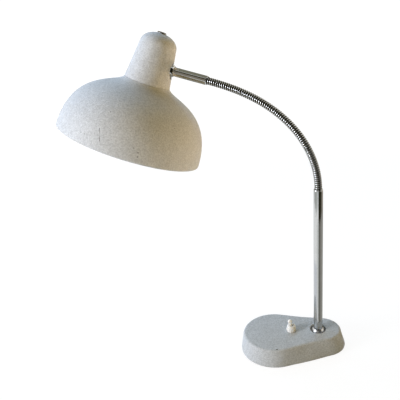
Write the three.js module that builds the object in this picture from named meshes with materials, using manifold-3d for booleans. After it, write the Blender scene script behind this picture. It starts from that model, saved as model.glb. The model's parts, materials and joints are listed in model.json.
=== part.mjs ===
// Desk lamp with a ball-jointed stem, a gooseneck and a ball-jointed shade.
// Millimetres, +Z up. The origin is on the table, under the centre of the foot's ball joint.
// The foot's long axis is X, with the round heel towards -X. The arm leans out over the heel.
import * as THREE from "three";
import { mergeVertices } from "three/addons/utils/BufferGeometryUtils.js";
import Module from "manifold-3d";

const wasm = await Module();
wasm.setup();

// Fits shared by all pieces
const seat = 0.3; // gap between a piece and what it rests on or turns in
const threadGap = 0.2; // radial gap round a screw thread
const overrun = 2; // how far a cutting tool runs past the face that it cuts

// Facets round a circle
const sidesLarge = 40;
const sidesMedium = 24;
const sidesSmall = 18;
const sidesScrew = 12;
const sidesWindow = 8;
const ballSteps = 9; // from the bottom of a ball to its top
const shellSteps = 4; // round the hollow of a liner or cup
const crownSteps = 9; // over the top of the neck housing

// Foot casting
const footHeight = 26.6;
const toeRadius = 28.8;
const heelRadius = 45.8;
const toeToHeel = 68.6;
const toeForward = 7.9; // from the ball joint's axis to the centre of the toe's arc
const footEdgeInset = 6.4; // from the bottom outline to the edge of the flat top
const footDraft = 3.0; // the part of that inset made by the sloping wall
const footEdgeHeight = 4.2; // height of the rounded top edge
const footFoot = 1.0; // the casting stands this far above the table, on its felt
const footHemHeight = 1.5;
const footHemInset = 0.7;
const flankHollow = 1.2; // how far the flanks are drawn in at the top edge
const flankSwell = 0.8; // how far they swell out at the bottom
const footWall = 8.5;
const footWallSlope = 3.5; // how much thicker the wall is at the roof
const footRoof = 7.0;

// Cover plate, felt and screws
const feltThickness = 1.8;
const plateThickness = 1.2;
const recessInset = 3.0; // from the bottom outline to the recess for the plate
const feltInset = 4.0;
const plateScrewRadius = 1.5;
const plateScrewLength = 9.0;
const plateScrewHeadRadius = 3.2;
const plateScrewHeadHeight = 1.1;
const plateScrewSlot = 0.7;
const plateScrewBossRadius = 4.8;
const toeScrewX = 22.0;
const heelScrewX = -60.0;
const heelScrewY = 29.0;
const feltHoleMargin = 0.9;

// Cord bush in the back flank
const bushHeight = 11.5;
const bushBoreRadius = 3.4;
const bushRadius = 4.8;
const bushFlangeRadius = 6.8;
const bushFlangeThickness = 2.0;
const bushX = -17.5;

// Ball joints: the same parts serve the foot and the head
const ballRadius = 9.25;
const ballBoreRadius = 3.4;
const ballCounterboreDepth = 3.5; // height of the counterbore's floor above the ball's centre
const jointHoleRadius = 10.6; // the hole in the foot's top and in the neck housing
const jointBoreRadius = 12.2; // the bore behind it
const linerThickness = 1.0;
const linerTopDepth = 3.4;
const linerBoreRadius = 5.6;
const cupTopDepth = 3.0;
const cupDepth = 12.3; // from the ball's centre to the underside of the cup
const cupBoreRadius = 5.0;
const washerThickness = 0.6;
const washerRise = 1.1;
const plugThickness = 1.6;
const plugSlotWidth = 2.0;
const plugSlotDepth = 0.8;
const lipDepth = 0.5; // where the retaining lip starts, out from the ball's centre
const lipEnd = 2.7;
const ballDepth = 5.0; // the foot's ball centre lies this far under its flat top
const jointBossRadius = 16.0;

// Stem
const tubeRadius = 6.0;
const tubeBoreRadius = 4.8;
const stemLength = 216.3; // from the ball's centre to the start of the gooseneck
const ferruleRadius = 5.8;
const ferruleHeight = 1.8;
const ferruleSpigotLength = 8.0;
const tubeEndChamfer = 0.8;

// Gooseneck
const neckLength = 207.8;
const neckBend = THREE.MathUtils.degToRad(77.2); // how far it turns from its foot to its end
const neckBendShare = 0.616; // how much more than the mean it curves at its foot
const neckSkewShare = -0.126; // how much of that moves towards its middle
const neckSegments = 11; // pieces that it is cut into
const ribsPerSegment = 7;
const neckCrestRadius = 4.95;
const neckRootRadius = 4.35;
const neckBoreRadius = 2.6;
const neckSides = 8;
const neckJointAngle = THREE.MathUtils.degToRad(14); // the most that two lengths turn
const neckJointGap = 0.1;

// Arm as it stands in the photograph
const armTurn = THREE.MathUtils.degToRad(25.4);
const headTubeLength = 54.7; // from the end of the gooseneck to the head's ball centre

// Shade, measured down its axis from the crown
const shadeWall = 1.0;
const neckHousingLength = 64.0;
const neckHousingTopRadius = 22.0; // of the cone, carried up to the crown
const neckHousingMouthRadius = 30.3;
const crownHeight = 15.1;
const crownPower = 2.245;
const ballAboveMouth = 23.6; // the ball's centre, from the neck housing's mouth
const ballInset = 3.8; // the ball's centre lies this far inside the neck housing's face
const bellDepth = 83.7;
const bellRadius = 96.9;
const bellShoulderRadius = 39.1; // control points of the bell's curve
const bellShoulderDepth = 12.9;
const bellHipRadius = 94.7;
const bellHipDepth = 11.4;
const bellSteps = 10;
const rimBeadRadius = 1.2;
const bellCollarHeight = 7.0;
const bellFlangeWidth = 7.5;
const shadePitch = THREE.MathUtils.degToRad(17.58);
const shadeRoll = THREE.MathUtils.degToRad(16.8);
const shadeSwing = THREE.MathUtils.degToRad(15.7); // round its own axis

// Sleeve behind the neck housing's hole
const sleeveWall = 1.4;

// Crown nut, threaded tube and clamp
const nutRadius = 6.0;
const nutHeight = 1.7;
const nutCrownHeight = 0.9;
const nutBoreDepth = 0.5;
const nutSlotWidth = 1.3;
const nutSlotDepth = 0.6;
const nippleRadius = 5.0;
const nippleBoreRadius = 3.6;
const nippleGrip = 4.5; // how far the tube goes into the lamp holder's cap
const clampDiscRadius = 26.0;
const clampDiscThickness = 1.5;
const clampDiscWindowRadius = 5.5;
const clampDiscWindowPitch = 15.0;
const clampDiscWindows = 4;
const clampNutFlats = 15.0;
const clampNutHeight = 2.6;

// Lamp holder and lamp
const holderCapHeight = 10.5;
const holderCapTopRadius = 9.0;
const holderRadius = 17.5;
const holderFloor = 3.6;
const holderHeight = 22.0;
const holderBoreRadius = 13.5;
const holderBandHeight = 3.0;
const holderBandDepth = 1.0;
const contactRadius = 4.5;
const contactThickness = 0.8;
const bulbCapRadius = 13.1;
const bulbCapThreadDepth = 0.6;
const bulbCapTurns = 3;
const bulbCapLength = 22.0;
const bulbCapWall = 1.0;
const bulbCapPipRadius = 4.0;
const bulbCapPipHeight = 2.0;
const bulbRadius = 22.5;
const bulbNeckRadius = 12.4;
const bulbNeckLength = 5.5;
const bulbWall = 0.9;

// Switch on the foot
const switchX = -36.9;
const switchBushRadius = 4.2;
const switchBushBoreRadius = 2.9;
const switchBushStand = 5.5;
const collarHeight = 9.0;
const collarFlangeRadius = 6.5;
const collarFlangeHeight = 4.2;
const collarTopRadius = 5.9;
const collarShoulder = 1.6;
const collarMouthRadius = 3.6;
const collarMouthDepth = 2.5;
const collarFlutes = 12;
const collarFluteRadius = 0.7;
const locknutFlats = 12.5;
const locknutHeight = 2.2;
const caseWidth = 15.0;
const caseLength = 22.0;
const caseHeight = 12.2;
const caseCornerRadius = 1.5;
const leverReach = 14.0; // from the pivot to the centre of the tip
const leverPivotStand = 1.0; // the pivot's height above the foot's top
const leverTipRadius = 2.85;
const leverRootRadius = 1.9;
const leverStalkRadius = 2.05;
const leverPivotRadius = 2.4;
const leverLean = THREE.MathUtils.degToRad(8);
const terminalRadius = 2.2;
const terminalHeight = 1.8;
const terminalSlot = 0.7;

// Places that follow from the sizes
const ballHeight = footHeight - ballDepth;
const roofUnderside = footHeight - footRoof;
const ledgeHeight = feltThickness + plateThickness;
const linerInnerRadius = ballRadius + seat;
const linerOuterRadius = linerInnerRadius + linerThickness;
const cupInnerRadius = linerOuterRadius + seat;
const jointFitRadius = jointBoreRadius - seat;
const washerTopDepth = cupDepth + seat;
const washerBottomDepth = washerTopDepth + washerRise + washerThickness;
const plugTopDepth = washerBottomDepth + seat;
const plugBottomDepth = plugTopDepth + plugThickness;
const neckRibPitch = neckLength / neckSegments / ribsPerSegment;
const ballDown = neckHousingLength - ballAboveMouth;
const headRadiusAtBall = housingRadius(ballDown) - ballInset;

// Solids and meshes

function solidOf(geometry) {
  const bare = geometry.index ? geometry.toNonIndexed() : geometry.clone();
  for (const name of Object.keys(bare.attributes)) {
    if (name !== "position") bare.deleteAttribute(name);
  }
  const merged = mergeVertices(bare, 1e-4);
  const triangles = [];
  for (let i = 0; i < merged.index.count; i += 3) {
    const [a, b, c] = merged.index.array.slice(i, i + 3);
    if (a !== b && b !== c && c !== a) triangles.push(a, b, c);
  }
  const vertProperties = merged.attributes.position.array;
  const triVerts = new Uint32Array(triangles);
  return new wasm.Manifold(new wasm.Mesh({ numProp: 3, vertProperties, triVerts }));
}

function geometryOf(solid) {
  const mesh = solid.getMesh();
  const positions = new Float32Array(mesh.numVert * 3);
  for (let i = 0; i < mesh.numVert; i++) {
    for (let axis = 0; axis < 3; axis++) {
      positions[3 * i + axis] = mesh.vertProperties[mesh.numProp * i + axis];
    }
  }
  const geometry = new THREE.BufferGeometry();
  geometry.setAttribute("position", new THREE.BufferAttribute(positions, 3));
  geometry.setIndex(Array.from(mesh.triVerts));
  const flat = geometry.toNonIndexed();
  flat.computeVertexNormals();
  return flat;
}

function cutAway(geometry, ...tools) {
  let solid = solidOf(geometry);
  for (const tool of tools) solid = solid.subtract(solidOf(tool));
  return geometryOf(solid);
}

function joinAll(geometry, ...others) {
  let solid = solidOf(geometry);
  for (const other of others) solid = solid.add(solidOf(other));
  return geometryOf(solid);
}

function keepInside(geometry, bounds) {
  return geometryOf(solidOf(geometry).intersect(solidOf(bounds)));
}

// Turns a profile of [radius, height] points round the Z axis.
// The points run with the material on their left: out along the bottom and up the outside.
function turned(profile, sides) {
  const points = profile.map(([r, z]) => new THREE.Vector2(Math.max(r, 0), z));
  return new THREE.LatheGeometry(points, sides).rotateX(Math.PI / 2);
}

function closed(profile) {
  return [...profile, profile[0]];
}

function cylinder(radius, bottom, top, sides) {
  const profile = [
    [0, bottom],
    [radius, bottom],
    [radius, top],
    [0, top],
  ];
  return turned(profile, sides);
}

function ring(innerRadius, outerRadius, bottom, top, sides) {
  const profile = [
    [innerRadius, bottom],
    [outerRadius, bottom],
    [outerRadius, top],
    [innerRadius, top],
  ];
  return turned(closed(profile), sides);
}

// Points on a sphere round the origin, from one height to another
function sphereProfile(radius, fromZ, toZ, steps) {
  const from = Math.asin(THREE.MathUtils.clamp(fromZ / radius, -1, 1));
  const to = Math.asin(THREE.MathUtils.clamp(toZ / radius, -1, 1));
  const points = [];
  for (let i = 0; i <= steps; i++) {
    const angle = from + ((to - from) * i) / steps;
    points.push([radius * Math.cos(angle), radius * Math.sin(angle)]);
  }
  return points;
}

function sphereDepthAt(sphereRadius, holeRadius) {
  return Math.sqrt(sphereRadius * sphereRadius - holeRadius * holeRadius);
}

function box(width, length, height, x, y, z) {
  return new THREE.BoxGeometry(width, length, height).translate(x, y, z);
}

function hexagon(flats, boreRadius, bottom, top) {
  const shape = new THREE.Shape();
  for (let i = 0; i < 6; i++) {
    const angle = (i * Math.PI) / 3;
    const corner = flats / Math.sqrt(3);
    shape[i ? "lineTo" : "moveTo"](corner * Math.cos(angle), corner * Math.sin(angle));
  }
  shape.closePath();
  const hole = new THREE.Path().absarc(0, 0, boreRadius, 0, 2 * Math.PI, true);
  shape.holes.push(hole);
  const options = { depth: top - bottom, bevelEnabled: false, curveSegments: sidesScrew };
  return new THREE.ExtrudeGeometry(shape, options).translate(0, 0, bottom);
}

function material(colour, roughness, metalness) {
  return new THREE.MeshStandardMaterial({ color: colour, roughness, metalness });
}

function add(parent, name, geometry, look) {
  const mesh = new THREE.Mesh(geometry, look());
  mesh.name = name;
  parent.add(mesh);
  return mesh;
}

// Looks
const greyLacquer = () => material(0xa9abaa, 0.55, 0.0);
const chrome = () => material(0xc9cac8, 0.12, 1.0);
const plainSteel = () => material(0x8f9193, 0.4, 1.0);
const brass = () => material(0xb5934a, 0.35, 1.0);
const creamPlastic = () => material(0xe4dfcf, 0.35, 0.0);
const darkPlastic = () => material(0x2a2320, 0.4, 0.0);
const blackRubber = () => material(0x1c1c1c, 0.8, 0.0);
const greenFelt = () => material(0x3f4a3c, 0.95, 0.0);
const fibre = () => material(0x8a5a3a, 0.7, 0.0);
const opalGlass = () => material(0xf2f0ea, 0.15, 0.0);

// Foot

const flankAngle = Math.acos((heelRadius - toeRadius) / toeToHeel);
const heelX = toeForward - toeToHeel;
const toeArcSteps = 10;
const heelArcSteps = 18;
const flankSteps = 4;

// The pear-shaped outline, drawn in by inset, with its flanks bowed out by bow
function footOutline(inset, bow) {
  const points = [];
  const arc = (centreX, radius, from, to, steps) => {
    for (let i = 0; i <= steps; i++) {
      const angle = from + ((to - from) * i) / steps;
      points.push([centreX + radius * Math.cos(angle), radius * Math.sin(angle)]);
    }
  };
  const flank = (side) => {
    const nx = Math.cos(flankAngle);
    const ny = side * Math.sin(flankAngle);
    const toe = [toeForward + (toeRadius - inset) * nx, (toeRadius - inset) * ny];
    const heel = [heelX + (heelRadius - inset) * nx, (heelRadius - inset) * ny];
    const [start, end] = side > 0 ? [toe, heel] : [heel, toe];
    for (let i = 1; i < flankSteps; i++) {
      const t = i / flankSteps;
      const out = bow * Math.sin(Math.PI * t) ** 2;
      const x = start[0] + (end[0] - start[0]) * t + out * nx;
      const y = start[1] + (end[1] - start[1]) * t + out * ny;
      points.push([x, y]);
    }
  };
  arc(toeForward, toeRadius - inset, -flankAngle, flankAngle, toeArcSteps);
  flank(1);
  arc(heelX, heelRadius - inset, flankAngle, 2 * Math.PI - flankAngle, heelArcSteps);
  flank(-1);
  return points;
}

// Skins a stack of outlines, each { z, inset, bow }, and closes both ends
function footLoft(levels) {
  const rings = levels.map(({ z, inset, bow }) =>
    footOutline(inset, bow).map(([x, y]) => [x, y, z]),
  );
  const middle = (heelX + toeForward) / 2;
  const corners = [];
  const count = rings[0].length;
  for (let i = 0; i < count; i++) {
    const j = (i + 1) % count;
    for (let level = 0; level + 1 < rings.length; level++) {
      const [a, b] = [rings[level][i], rings[level][j]];
      const [c, d] = [rings[level + 1][j], rings[level + 1][i]];
      corners.push(...a, ...b, ...c, ...a, ...c, ...d);
    }
    const low = rings[0];
    const high = rings[rings.length - 1];
    corners.push(middle, 0, low[0][2], ...low[j], ...low[i]);
    corners.push(middle, 0, high[0][2], ...high[i], ...high[j]);
  }
  const geometry = new THREE.BufferGeometry();
  geometry.setAttribute("position", new THREE.Float32BufferAttribute(corners, 3));
  return geometry;
}

function footBody() {
  const wallTop = footHeight - footEdgeHeight;
  const levels = [
    { z: footFoot, inset: footHemInset, bow: flankSwell },
    { z: footFoot + footHemHeight, inset: 0, bow: flankSwell },
    { z: (footFoot + wallTop) / 2, inset: footDraft / 2, bow: (flankSwell - flankHollow) / 2 },
  ];
  const edgeSteps = 4;
  for (let i = 0; i <= edgeSteps; i++) {
    const angle = (i / edgeSteps) * (Math.PI / 2);
    const inset = footDraft + (footEdgeInset - footDraft) * (1 - Math.cos(angle));
    levels.push({ z: wallTop + footEdgeHeight * Math.sin(angle), inset, bow: -flankHollow });
  }
  return footLoft(levels);
}

// How far the back flank stands out from the foot's long axis, at a place and height
function flankReach(x, height) {
  const wallTop = footHeight - footEdgeHeight;
  const rise = (height - footFoot) / (wallTop - footFoot);
  const inset = footDraft * rise;
  const bow = THREE.MathUtils.lerp(flankSwell, -flankHollow, rise);
  const level = footOutline(inset, bow).filter(([, y]) => y > 0);
  for (let i = 0; i + 1 < level.length; i++) {
    const [[x0, y0], [x1, y1]] = [level[i], level[i + 1]];
    if (x <= x0 && x >= x1) return THREE.MathUtils.lerp(y0, y1, (x0 - x) / (x0 - x1));
  }
  return heelRadius;
}

// The spot face for the cord bush: just deep enough to be whole at the bush's lowest side
function spotFaceY() {
  const rim = bushFlangeRadius + seat;
  return flankReach(bushX + rim, bushHeight + rim);
}

// Moves a piece made round +Z so that +Z points straight out of the back flank
function ontoFlank(geometry) {
  return geometry.rotateX(-Math.PI / 2).translate(bushX, spotFaceY(), bushHeight);
}

const plateScrewPlaces = [
  [toeScrewX, 0],
  [heelScrewX, heelScrewY],
  [heelScrewX, -heelScrewY],
];

function footCasting() {
  const recess = footLoft([
    { z: footFoot - overrun, inset: recessInset, bow: 0 },
    { z: ledgeHeight, inset: recessInset, bow: 0 },
  ]);
  const hollow = footLoft([
    { z: ledgeHeight - overrun / 2, inset: footWall, bow: 0 },
    { z: roofUnderside, inset: footWall + footWallSlope, bow: 0 },
  ]);
  const bosses = plateScrewPlaces.map(([x, y]) =>
    cylinder(plateScrewBossRadius, ledgeHeight, roofUnderside + overrun, sidesSmall).translate(x, y, 0),
  );
  const plugBottom = ballHeight - plugBottomDepth;
  const jointBoss = cylinder(jointBossRadius, plugBottom, roofUnderside + overrun, sidesMedium);
  const shell = cutAway(footBody(), recess, hollow);
  const bossed = joinAll(shell, jointBoss, ...bosses);
  const screwHoles = plateScrewPlaces.map(([x, y]) => {
    const top = ledgeHeight + plateScrewLength;
    const radius = plateScrewRadius + threadGap;
    return cylinder(radius, ledgeHeight - overrun, top, sidesScrew).translate(x, y, 0);
  });
  return cutAway(
    bossed,
    cylinder(jointBoreRadius, plugBottom - overrun, ballHeight + lipEnd + seat, sidesMedium),
    cylinder(jointHoleRadius, ballHeight, footHeight + overrun, sidesMedium),
    cylinder(switchBushRadius + threadGap, ledgeHeight, footHeight + overrun, sidesSmall).translate(
      switchX, 0, 0),
    ontoFlank(cylinder(bushRadius + seat, -2 * footWall, overrun, sidesSmall)),
    ontoFlank(cylinder(bushFlangeRadius + seat, 0, footWall, sidesSmall)),
    ...screwHoles,
  );
}

function basePlate() {
  const plate = footLoft([
    { z: feltThickness, inset: recessInset + seat, bow: 0 },
    { z: ledgeHeight, inset: recessInset + seat, bow: 0 },
  ]);
  const holes = plateScrewPlaces.map(([x, y]) => {
    const radius = plateScrewRadius + threadGap;
    return cylinder(radius, 0, ledgeHeight + overrun, sidesScrew).translate(x, y, 0);
  });
  return cutAway(plate, ...holes);
}

function baseFelt() {
  const felt = footLoft([
    { z: 0, inset: feltInset, bow: 0 },
    { z: feltThickness, inset: feltInset, bow: 0 },
  ]);
  const holes = plateScrewPlaces.map(([x, y]) => {
    const radius = plateScrewHeadRadius + feltHoleMargin;
    return cylinder(radius, -overrun, feltThickness + overrun, sidesScrew).translate(x, y, 0);
  });
  return cutAway(felt, ...holes);
}

// A screw that stands head down under the plate, with a slot in its head
function plateScrew() {
  const headBottom = feltThickness - plateScrewHeadHeight;
  const profile = [
    [0, headBottom],
    [plateScrewHeadRadius, headBottom],
    [plateScrewHeadRadius, feltThickness],
    [plateScrewRadius, feltThickness],
    [plateScrewRadius, ledgeHeight + plateScrewLength - seat],
    [0, ledgeHeight + plateScrewLength - seat],
  ];
  const slotDepth = plateScrewHeadHeight / 2;
  const width = 2 * (plateScrewHeadRadius + overrun);
  const slot = box(width, plateScrewSlot, 2 * slotDepth, 0, 0, headBottom);
  return cutAway(turned(profile, sidesScrew), slot);
}

function cordBush() {
  const tail = footWall + seat;
  const profile = [
    [bushBoreRadius, -tail],
    [bushRadius, -tail],
    [bushRadius, seat],
    [bushFlangeRadius, seat],
    [bushFlangeRadius, seat + bushFlangeThickness / 2],
    [bushRadius, seat + bushFlangeThickness],
    [bushBoreRadius, seat + bushFlangeThickness],
  ];
  return ontoFlank(turned(closed(profile), sidesSmall));
}

// Ball joint pieces, made round Z with the ball's centre at the origin and the arm towards +Z

function ball() {
  const floor = ballCounterboreDepth;
  const mouth = tubeRadius + threadGap;
  const top = sphereDepthAt(ballRadius, mouth);
  const bottom = -sphereDepthAt(ballRadius, ballBoreRadius);
  const profile = [
    ...sphereProfile(ballRadius, bottom, top, ballSteps),
    [mouth, floor],
    [ballBoreRadius, floor],
  ];
  return turned(closed(profile), sidesMedium);
}

function retainingRing() {
  const sphere = linerInnerRadius;
  const profile = [
    [jointFitRadius, lipDepth],
    [jointFitRadius, lipEnd],
    ...sphereProfile(sphere, lipEnd, lipDepth, 3),
  ];
  return turned(closed(profile), sidesMedium);
}

function jointLiner() {
  const innerEnd = -sphereDepthAt(linerInnerRadius, linerBoreRadius);
  const outerEnd = -sphereDepthAt(linerOuterRadius, linerBoreRadius);
  const profile = [
    ...sphereProfile(linerOuterRadius, outerEnd, -linerTopDepth, shellSteps),
    ...sphereProfile(linerInnerRadius, -linerTopDepth, innerEnd, shellSteps),
  ];
  return turned(closed(profile), sidesSmall);
}

function frictionCup() {
  const floor = -sphereDepthAt(cupInnerRadius, cupBoreRadius);
  const profile = [
    [cupBoreRadius, -cupDepth],
    [jointFitRadius, -cupDepth],
    [jointFitRadius, -cupTopDepth],
    ...sphereProfile(cupInnerRadius, -cupTopDepth, floor, shellSteps),
  ];
  return turned(closed(profile), sidesSmall);
}

function springWasher() {
  const profile = [
    [cupBoreRadius, -washerTopDepth - washerThickness],
    [jointFitRadius, -washerBottomDepth],
    [jointFitRadius, -washerBottomDepth + washerThickness],
    [cupBoreRadius, -washerTopDepth],
  ];
  return turned(closed(profile), sidesSmall);
}

function jointPlug() {
  const blank = ring(cupBoreRadius, jointFitRadius, -plugBottomDepth, -plugTopDepth, sidesSmall);
  const width = 2 * jointBoreRadius;
  const slot = box(width, plugSlotWidth, 2 * plugSlotDepth, 0, 0, -plugBottomDepth);
  return cutAway(blank, slot);
}

// Arm

// How far a piece's end face stands back from the pivot plane, so that two ends can tilt
function endSetback(radius) {
  return neckJointGap / 2 + radius * Math.tan(neckJointAngle / 2);
}

function stemTube() {
  const bottom = ballCounterboreDepth + seat;
  const top = stemLength - ferruleHeight;
  const profile = [
    [tubeBoreRadius, bottom],
    [tubeRadius, bottom],
    [tubeRadius, top - tubeEndChamfer / 2],
    [tubeRadius - tubeEndChamfer / 2, top],
    [tubeBoreRadius, top],
  ];
  return turned(closed(profile), sidesMedium);
}

function stemFerrule() {
  const bottom = stemLength - ferruleHeight;
  const spigot = tubeBoreRadius - threadGap;
  const profile = [
    [neckBoreRadius, bottom - ferruleSpigotLength],
    [spigot, bottom - ferruleSpigotLength],
    [spigot, bottom],
    [ferruleRadius, bottom],
    [ferruleRadius, stemLength - endSetback(ferruleRadius)],
    [neckBoreRadius, stemLength - endSetback(neckBoreRadius)],
  ];
  return turned(closed(profile), sidesMedium);
}

// Direction of the gooseneck at a distance along it, from straight up
function neckAngle(distance) {
  const t = distance / neckLength;
  return neckBend * (t + (neckBendShare + neckSkewShare * (1 - 2 * t)) * t * (1 - t));
}

// Place of the gooseneck's centre line, found by summing short steps from its foot
function neckPlace(distance) {
  const steps = 240;
  const step = distance / steps;
  let x = 0;
  let z = ballHeight + stemLength;
  for (let i = 0; i < steps; i++) {
    const angle = neckAngle((i + 0.5) * step);
    x -= Math.sin(angle) * step;
    z += Math.cos(angle) * step;
  }
  return { x, z, angle: neckAngle(distance) };
}

// One length of the gooseneck: a helical rib round a bore, bent along the centre line.
// Crest and root each run as one helix, and both are held back to the end faces.
function neckSegment(index) {
  const length = neckLength / neckSegments;
  const start = index * length;
  const placeCache = new Map();
  const placeAt = (distance) => {
    const key = distance.toFixed(5);
    if (!placeCache.has(key)) placeCache.set(key, neckPlace(start + distance));
    return placeCache.get(key);
  };
  const at = (distance, radius, turn) => {
    const place = placeAt(distance);
    const angle = (2 * Math.PI * turn) / neckSides;
    const out = radius * Math.cos(angle);
    const side = radius * Math.sin(angle);
    return [
      place.x + out * Math.cos(place.angle),
      side,
      place.z + out * Math.sin(place.angle),
    ];
  };
  const rootStart = endSetback(neckRootRadius);
  const rootEnd = length - rootStart;
  const helixPoint = (turn, shift, radius) => {
    const distance = neckRibPitch * (turn / neckSides + shift);
    const inside = distance > rootStart && distance < rootEnd;
    const held = THREE.MathUtils.clamp(distance, rootStart, rootEnd);
    return at(held, inside ? radius : neckRootRadius, turn);
  };
  const corners = [];
  const face = (a, b, c) => corners.push(...a, ...b, ...c);
  const quad = (a, b, c, d) => {
    face(a, b, c);
    face(a, c, d);
  };
  const turns = neckSides * (ribsPerSegment + 1);
  for (let turn = -2 * neckSides; turn < turns; turn++) {
    const crest = (k) => helixPoint(k, 0.25, neckCrestRadius);
    const root = (k) => helixPoint(k, 0.75, neckRootRadius);
    quad(crest(turn), crest(turn + 1), root(turn + 1), root(turn));
    const next = turn + neckSides;
    quad(root(turn), root(turn + 1), crest(next + 1), crest(next));
  }
  const boreStart = endSetback(neckBoreRadius);
  const boreRings = Math.max(2, Math.round(ribsPerSegment / 3));
  const boreAt = (level, turn) => {
    const span = length - 2 * boreStart;
    return at(boreStart + (span * level) / boreRings, neckBoreRadius, turn);
  };
  for (let turn = 0; turn < neckSides; turn++) {
    for (let level = 0; level < boreRings; level++) {
      const low = [boreAt(level, turn), boreAt(level, turn + 1)];
      const high = [boreAt(level + 1, turn), boreAt(level + 1, turn + 1)];
      quad(low[1], low[0], high[0], high[1]);
    }
    const foot = (k) => at(rootStart, neckRootRadius, k);
    const head = (k) => at(rootEnd, neckRootRadius, k);
    quad(boreAt(0, turn), boreAt(0, turn + 1), foot(turn + 1), foot(turn));
    quad(boreAt(boreRings, turn + 1), boreAt(boreRings, turn), head(turn), head(turn + 1));
  }
  const geometry = new THREE.BufferGeometry();
  geometry.setAttribute("position", new THREE.Float32BufferAttribute(corners, 3));
  return geometryOf(solidOf(geometry));
}

// The tube at the head, made like the stem with its ball at the origin and its mouth towards +Z
function headTube() {
  const bottom = ballCounterboreDepth + seat;
  const top = headTubeLength;
  const mouthDepth = ferruleSpigotLength;
  const profile = [
    [tubeBoreRadius, bottom],
    [tubeRadius, bottom],
    [tubeRadius, top - tubeEndChamfer - endSetback(tubeRadius)],
    [tubeRadius - tubeEndChamfer, top - endSetback(tubeRadius)],
    [neckBoreRadius, top - endSetback(neckBoreRadius)],
    [neckBoreRadius, top - mouthDepth],
    [tubeBoreRadius, top - mouthDepth],
  ];
  return turned(closed(profile), sidesMedium);
}

// Shade, made round its own axis with distances measured down from the crown

function housingRadius(down) {
  const share = down / neckHousingLength;
  return THREE.MathUtils.lerp(neckHousingTopRadius, neckHousingMouthRadius, share);
}

// The crown's curve, drawn in by inset, from the axis down to the cone
function crownProfile(inset, fromRadius, steps) {
  const height = crownHeight - inset;
  const points = [];
  for (let i = 0; i <= steps; i++) {
    const angle = (i / steps) * (Math.PI / 2);
    const down = inset + height * (1 - Math.cos(angle));
    const rise = (crownHeight - down) / height;
    const round = (1 - Math.min(rise, 1) ** crownPower) ** (1 / crownPower);
    points.push([(housingRadius(down) - inset) * round, down]);
  }
  return [[fromRadius, inset], ...points.filter(([r]) => r > fromRadius + overrun)];
}

function neckHousingProfile() {
  const hole = nippleRadius + threadGap;
  const mouth = neckHousingLength - seat;
  const outer = [...crownProfile(0, hole, crownSteps), [housingRadius(mouth), mouth]];
  const inner = [
    ...crownProfile(shadeWall, hole, crownSteps - 2),
    [housingRadius(mouth) - shadeWall, mouth],
  ];
  return { outer, inner };
}

// Turns a profile given as [radius, distance down] about the shade's axis
function shadeTurned(profile, sides) {
  return turned(profile.map(([r, down]) => [r, ballDown - down]), sides).translate(
    -headRadiusAtBall, 0, 0);
}

// Turns a piece made round +Z so that +Z points out through the neck housing's hole
function outThroughHousing(geometry) {
  return geometry.rotateY(Math.PI / 2);
}

function neckHousing() {
  const { outer, inner } = neckHousingProfile();
  const shell = shadeTurned(closed([...outer.reverse(), ...inner]), sidesMedium + sidesScrew);
  const hole = cylinder(jointHoleRadius, -overrun, ballRadius + ballInset, sidesMedium);
  return cutAway(shell, outThroughHousing(hole));
}

function bellCurve() {
  return new THREE.CubicBezierCurve(
    new THREE.Vector2(neckHousingMouthRadius, 0),
    new THREE.Vector2(bellShoulderRadius, bellShoulderDepth),
    new THREE.Vector2(bellHipRadius, bellHipDepth),
    new THREE.Vector2(bellRadius, bellDepth),
  );
}

function bellShade() {
  const curve = bellCurve();
  const outer = [];
  const inner = [];
  for (let i = 0; i <= bellSteps; i++) {
    const point = curve.getPointAt(i / bellSteps);
    const tangent = curve.getTangentAt(i / bellSteps);
    const down = neckHousingLength + point.y;
    outer.push([point.x, down]);
    inner.push([point.x - tangent.y * shadeWall, down + tangent.x * shadeWall]);
  }
  const rimDown = neckHousingLength + bellDepth;
  const bead = [];
  const beadSteps = 4;
  for (let i = 0; i <= beadSteps; i++) {
    const angle = (i / beadSteps) * Math.PI;
    const radius = bellRadius - rimBeadRadius + rimBeadRadius * Math.cos(angle);
    bead.push([radius, rimDown + rimBeadRadius * Math.sin(angle)]);
  }
  const collarTop = neckHousingLength - bellCollarHeight;
  const collar = (down) => housingRadius(down) - shadeWall - seat;
  const flangeRadius = collar(collarTop) - bellFlangeWidth;
  const profile = [
    ...outer.slice(0, -1),
    ...bead,
    ...inner.slice(1, -1).reverse(),
    [collar(neckHousingLength) - shadeWall, neckHousingLength + 2 * shadeWall],
    [collar(collarTop) - shadeWall, collarTop + shadeWall],
    [flangeRadius, collarTop + shadeWall],
    [flangeRadius, collarTop],
    [collar(collarTop), collarTop],
    [collar(neckHousingLength), neckHousingLength],
  ];
  return shadeTurned(closed(profile).reverse(), sidesLarge);
}

// The space inside the neck housing, for trimming the sleeve to its wall
function housingInterior() {
  const profile = [
    [0, shadeWall + seat],
    ...crownProfile(shadeWall + seat, 0, crownSteps - 2).slice(1),
    [housingRadius(neckHousingLength) - shadeWall - seat, neckHousingLength],
    [0, neckHousingLength],
  ];
  return shadeTurned(profile.reverse(), sidesMedium + sidesScrew);
}

function headSocket() {
  const outer = jointBoreRadius + sleeveWall;
  const back = -plugBottomDepth;
  const front = ballRadius;
  const sphere = linerInnerRadius;
  const profile = [
    [jointBoreRadius, back],
    [outer, back],
    [outer, front],
    [jointHoleRadius, front],
    [jointHoleRadius, lipEnd],
    ...sphereProfile(sphere, lipEnd, lipDepth, 3),
    [jointBoreRadius, lipDepth],
  ];
  const sleeve = outThroughHousing(turned(closed(profile), sidesMedium));
  return keepInside(sleeve, housingInterior());
}

// Pieces on the shade's axis

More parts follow.
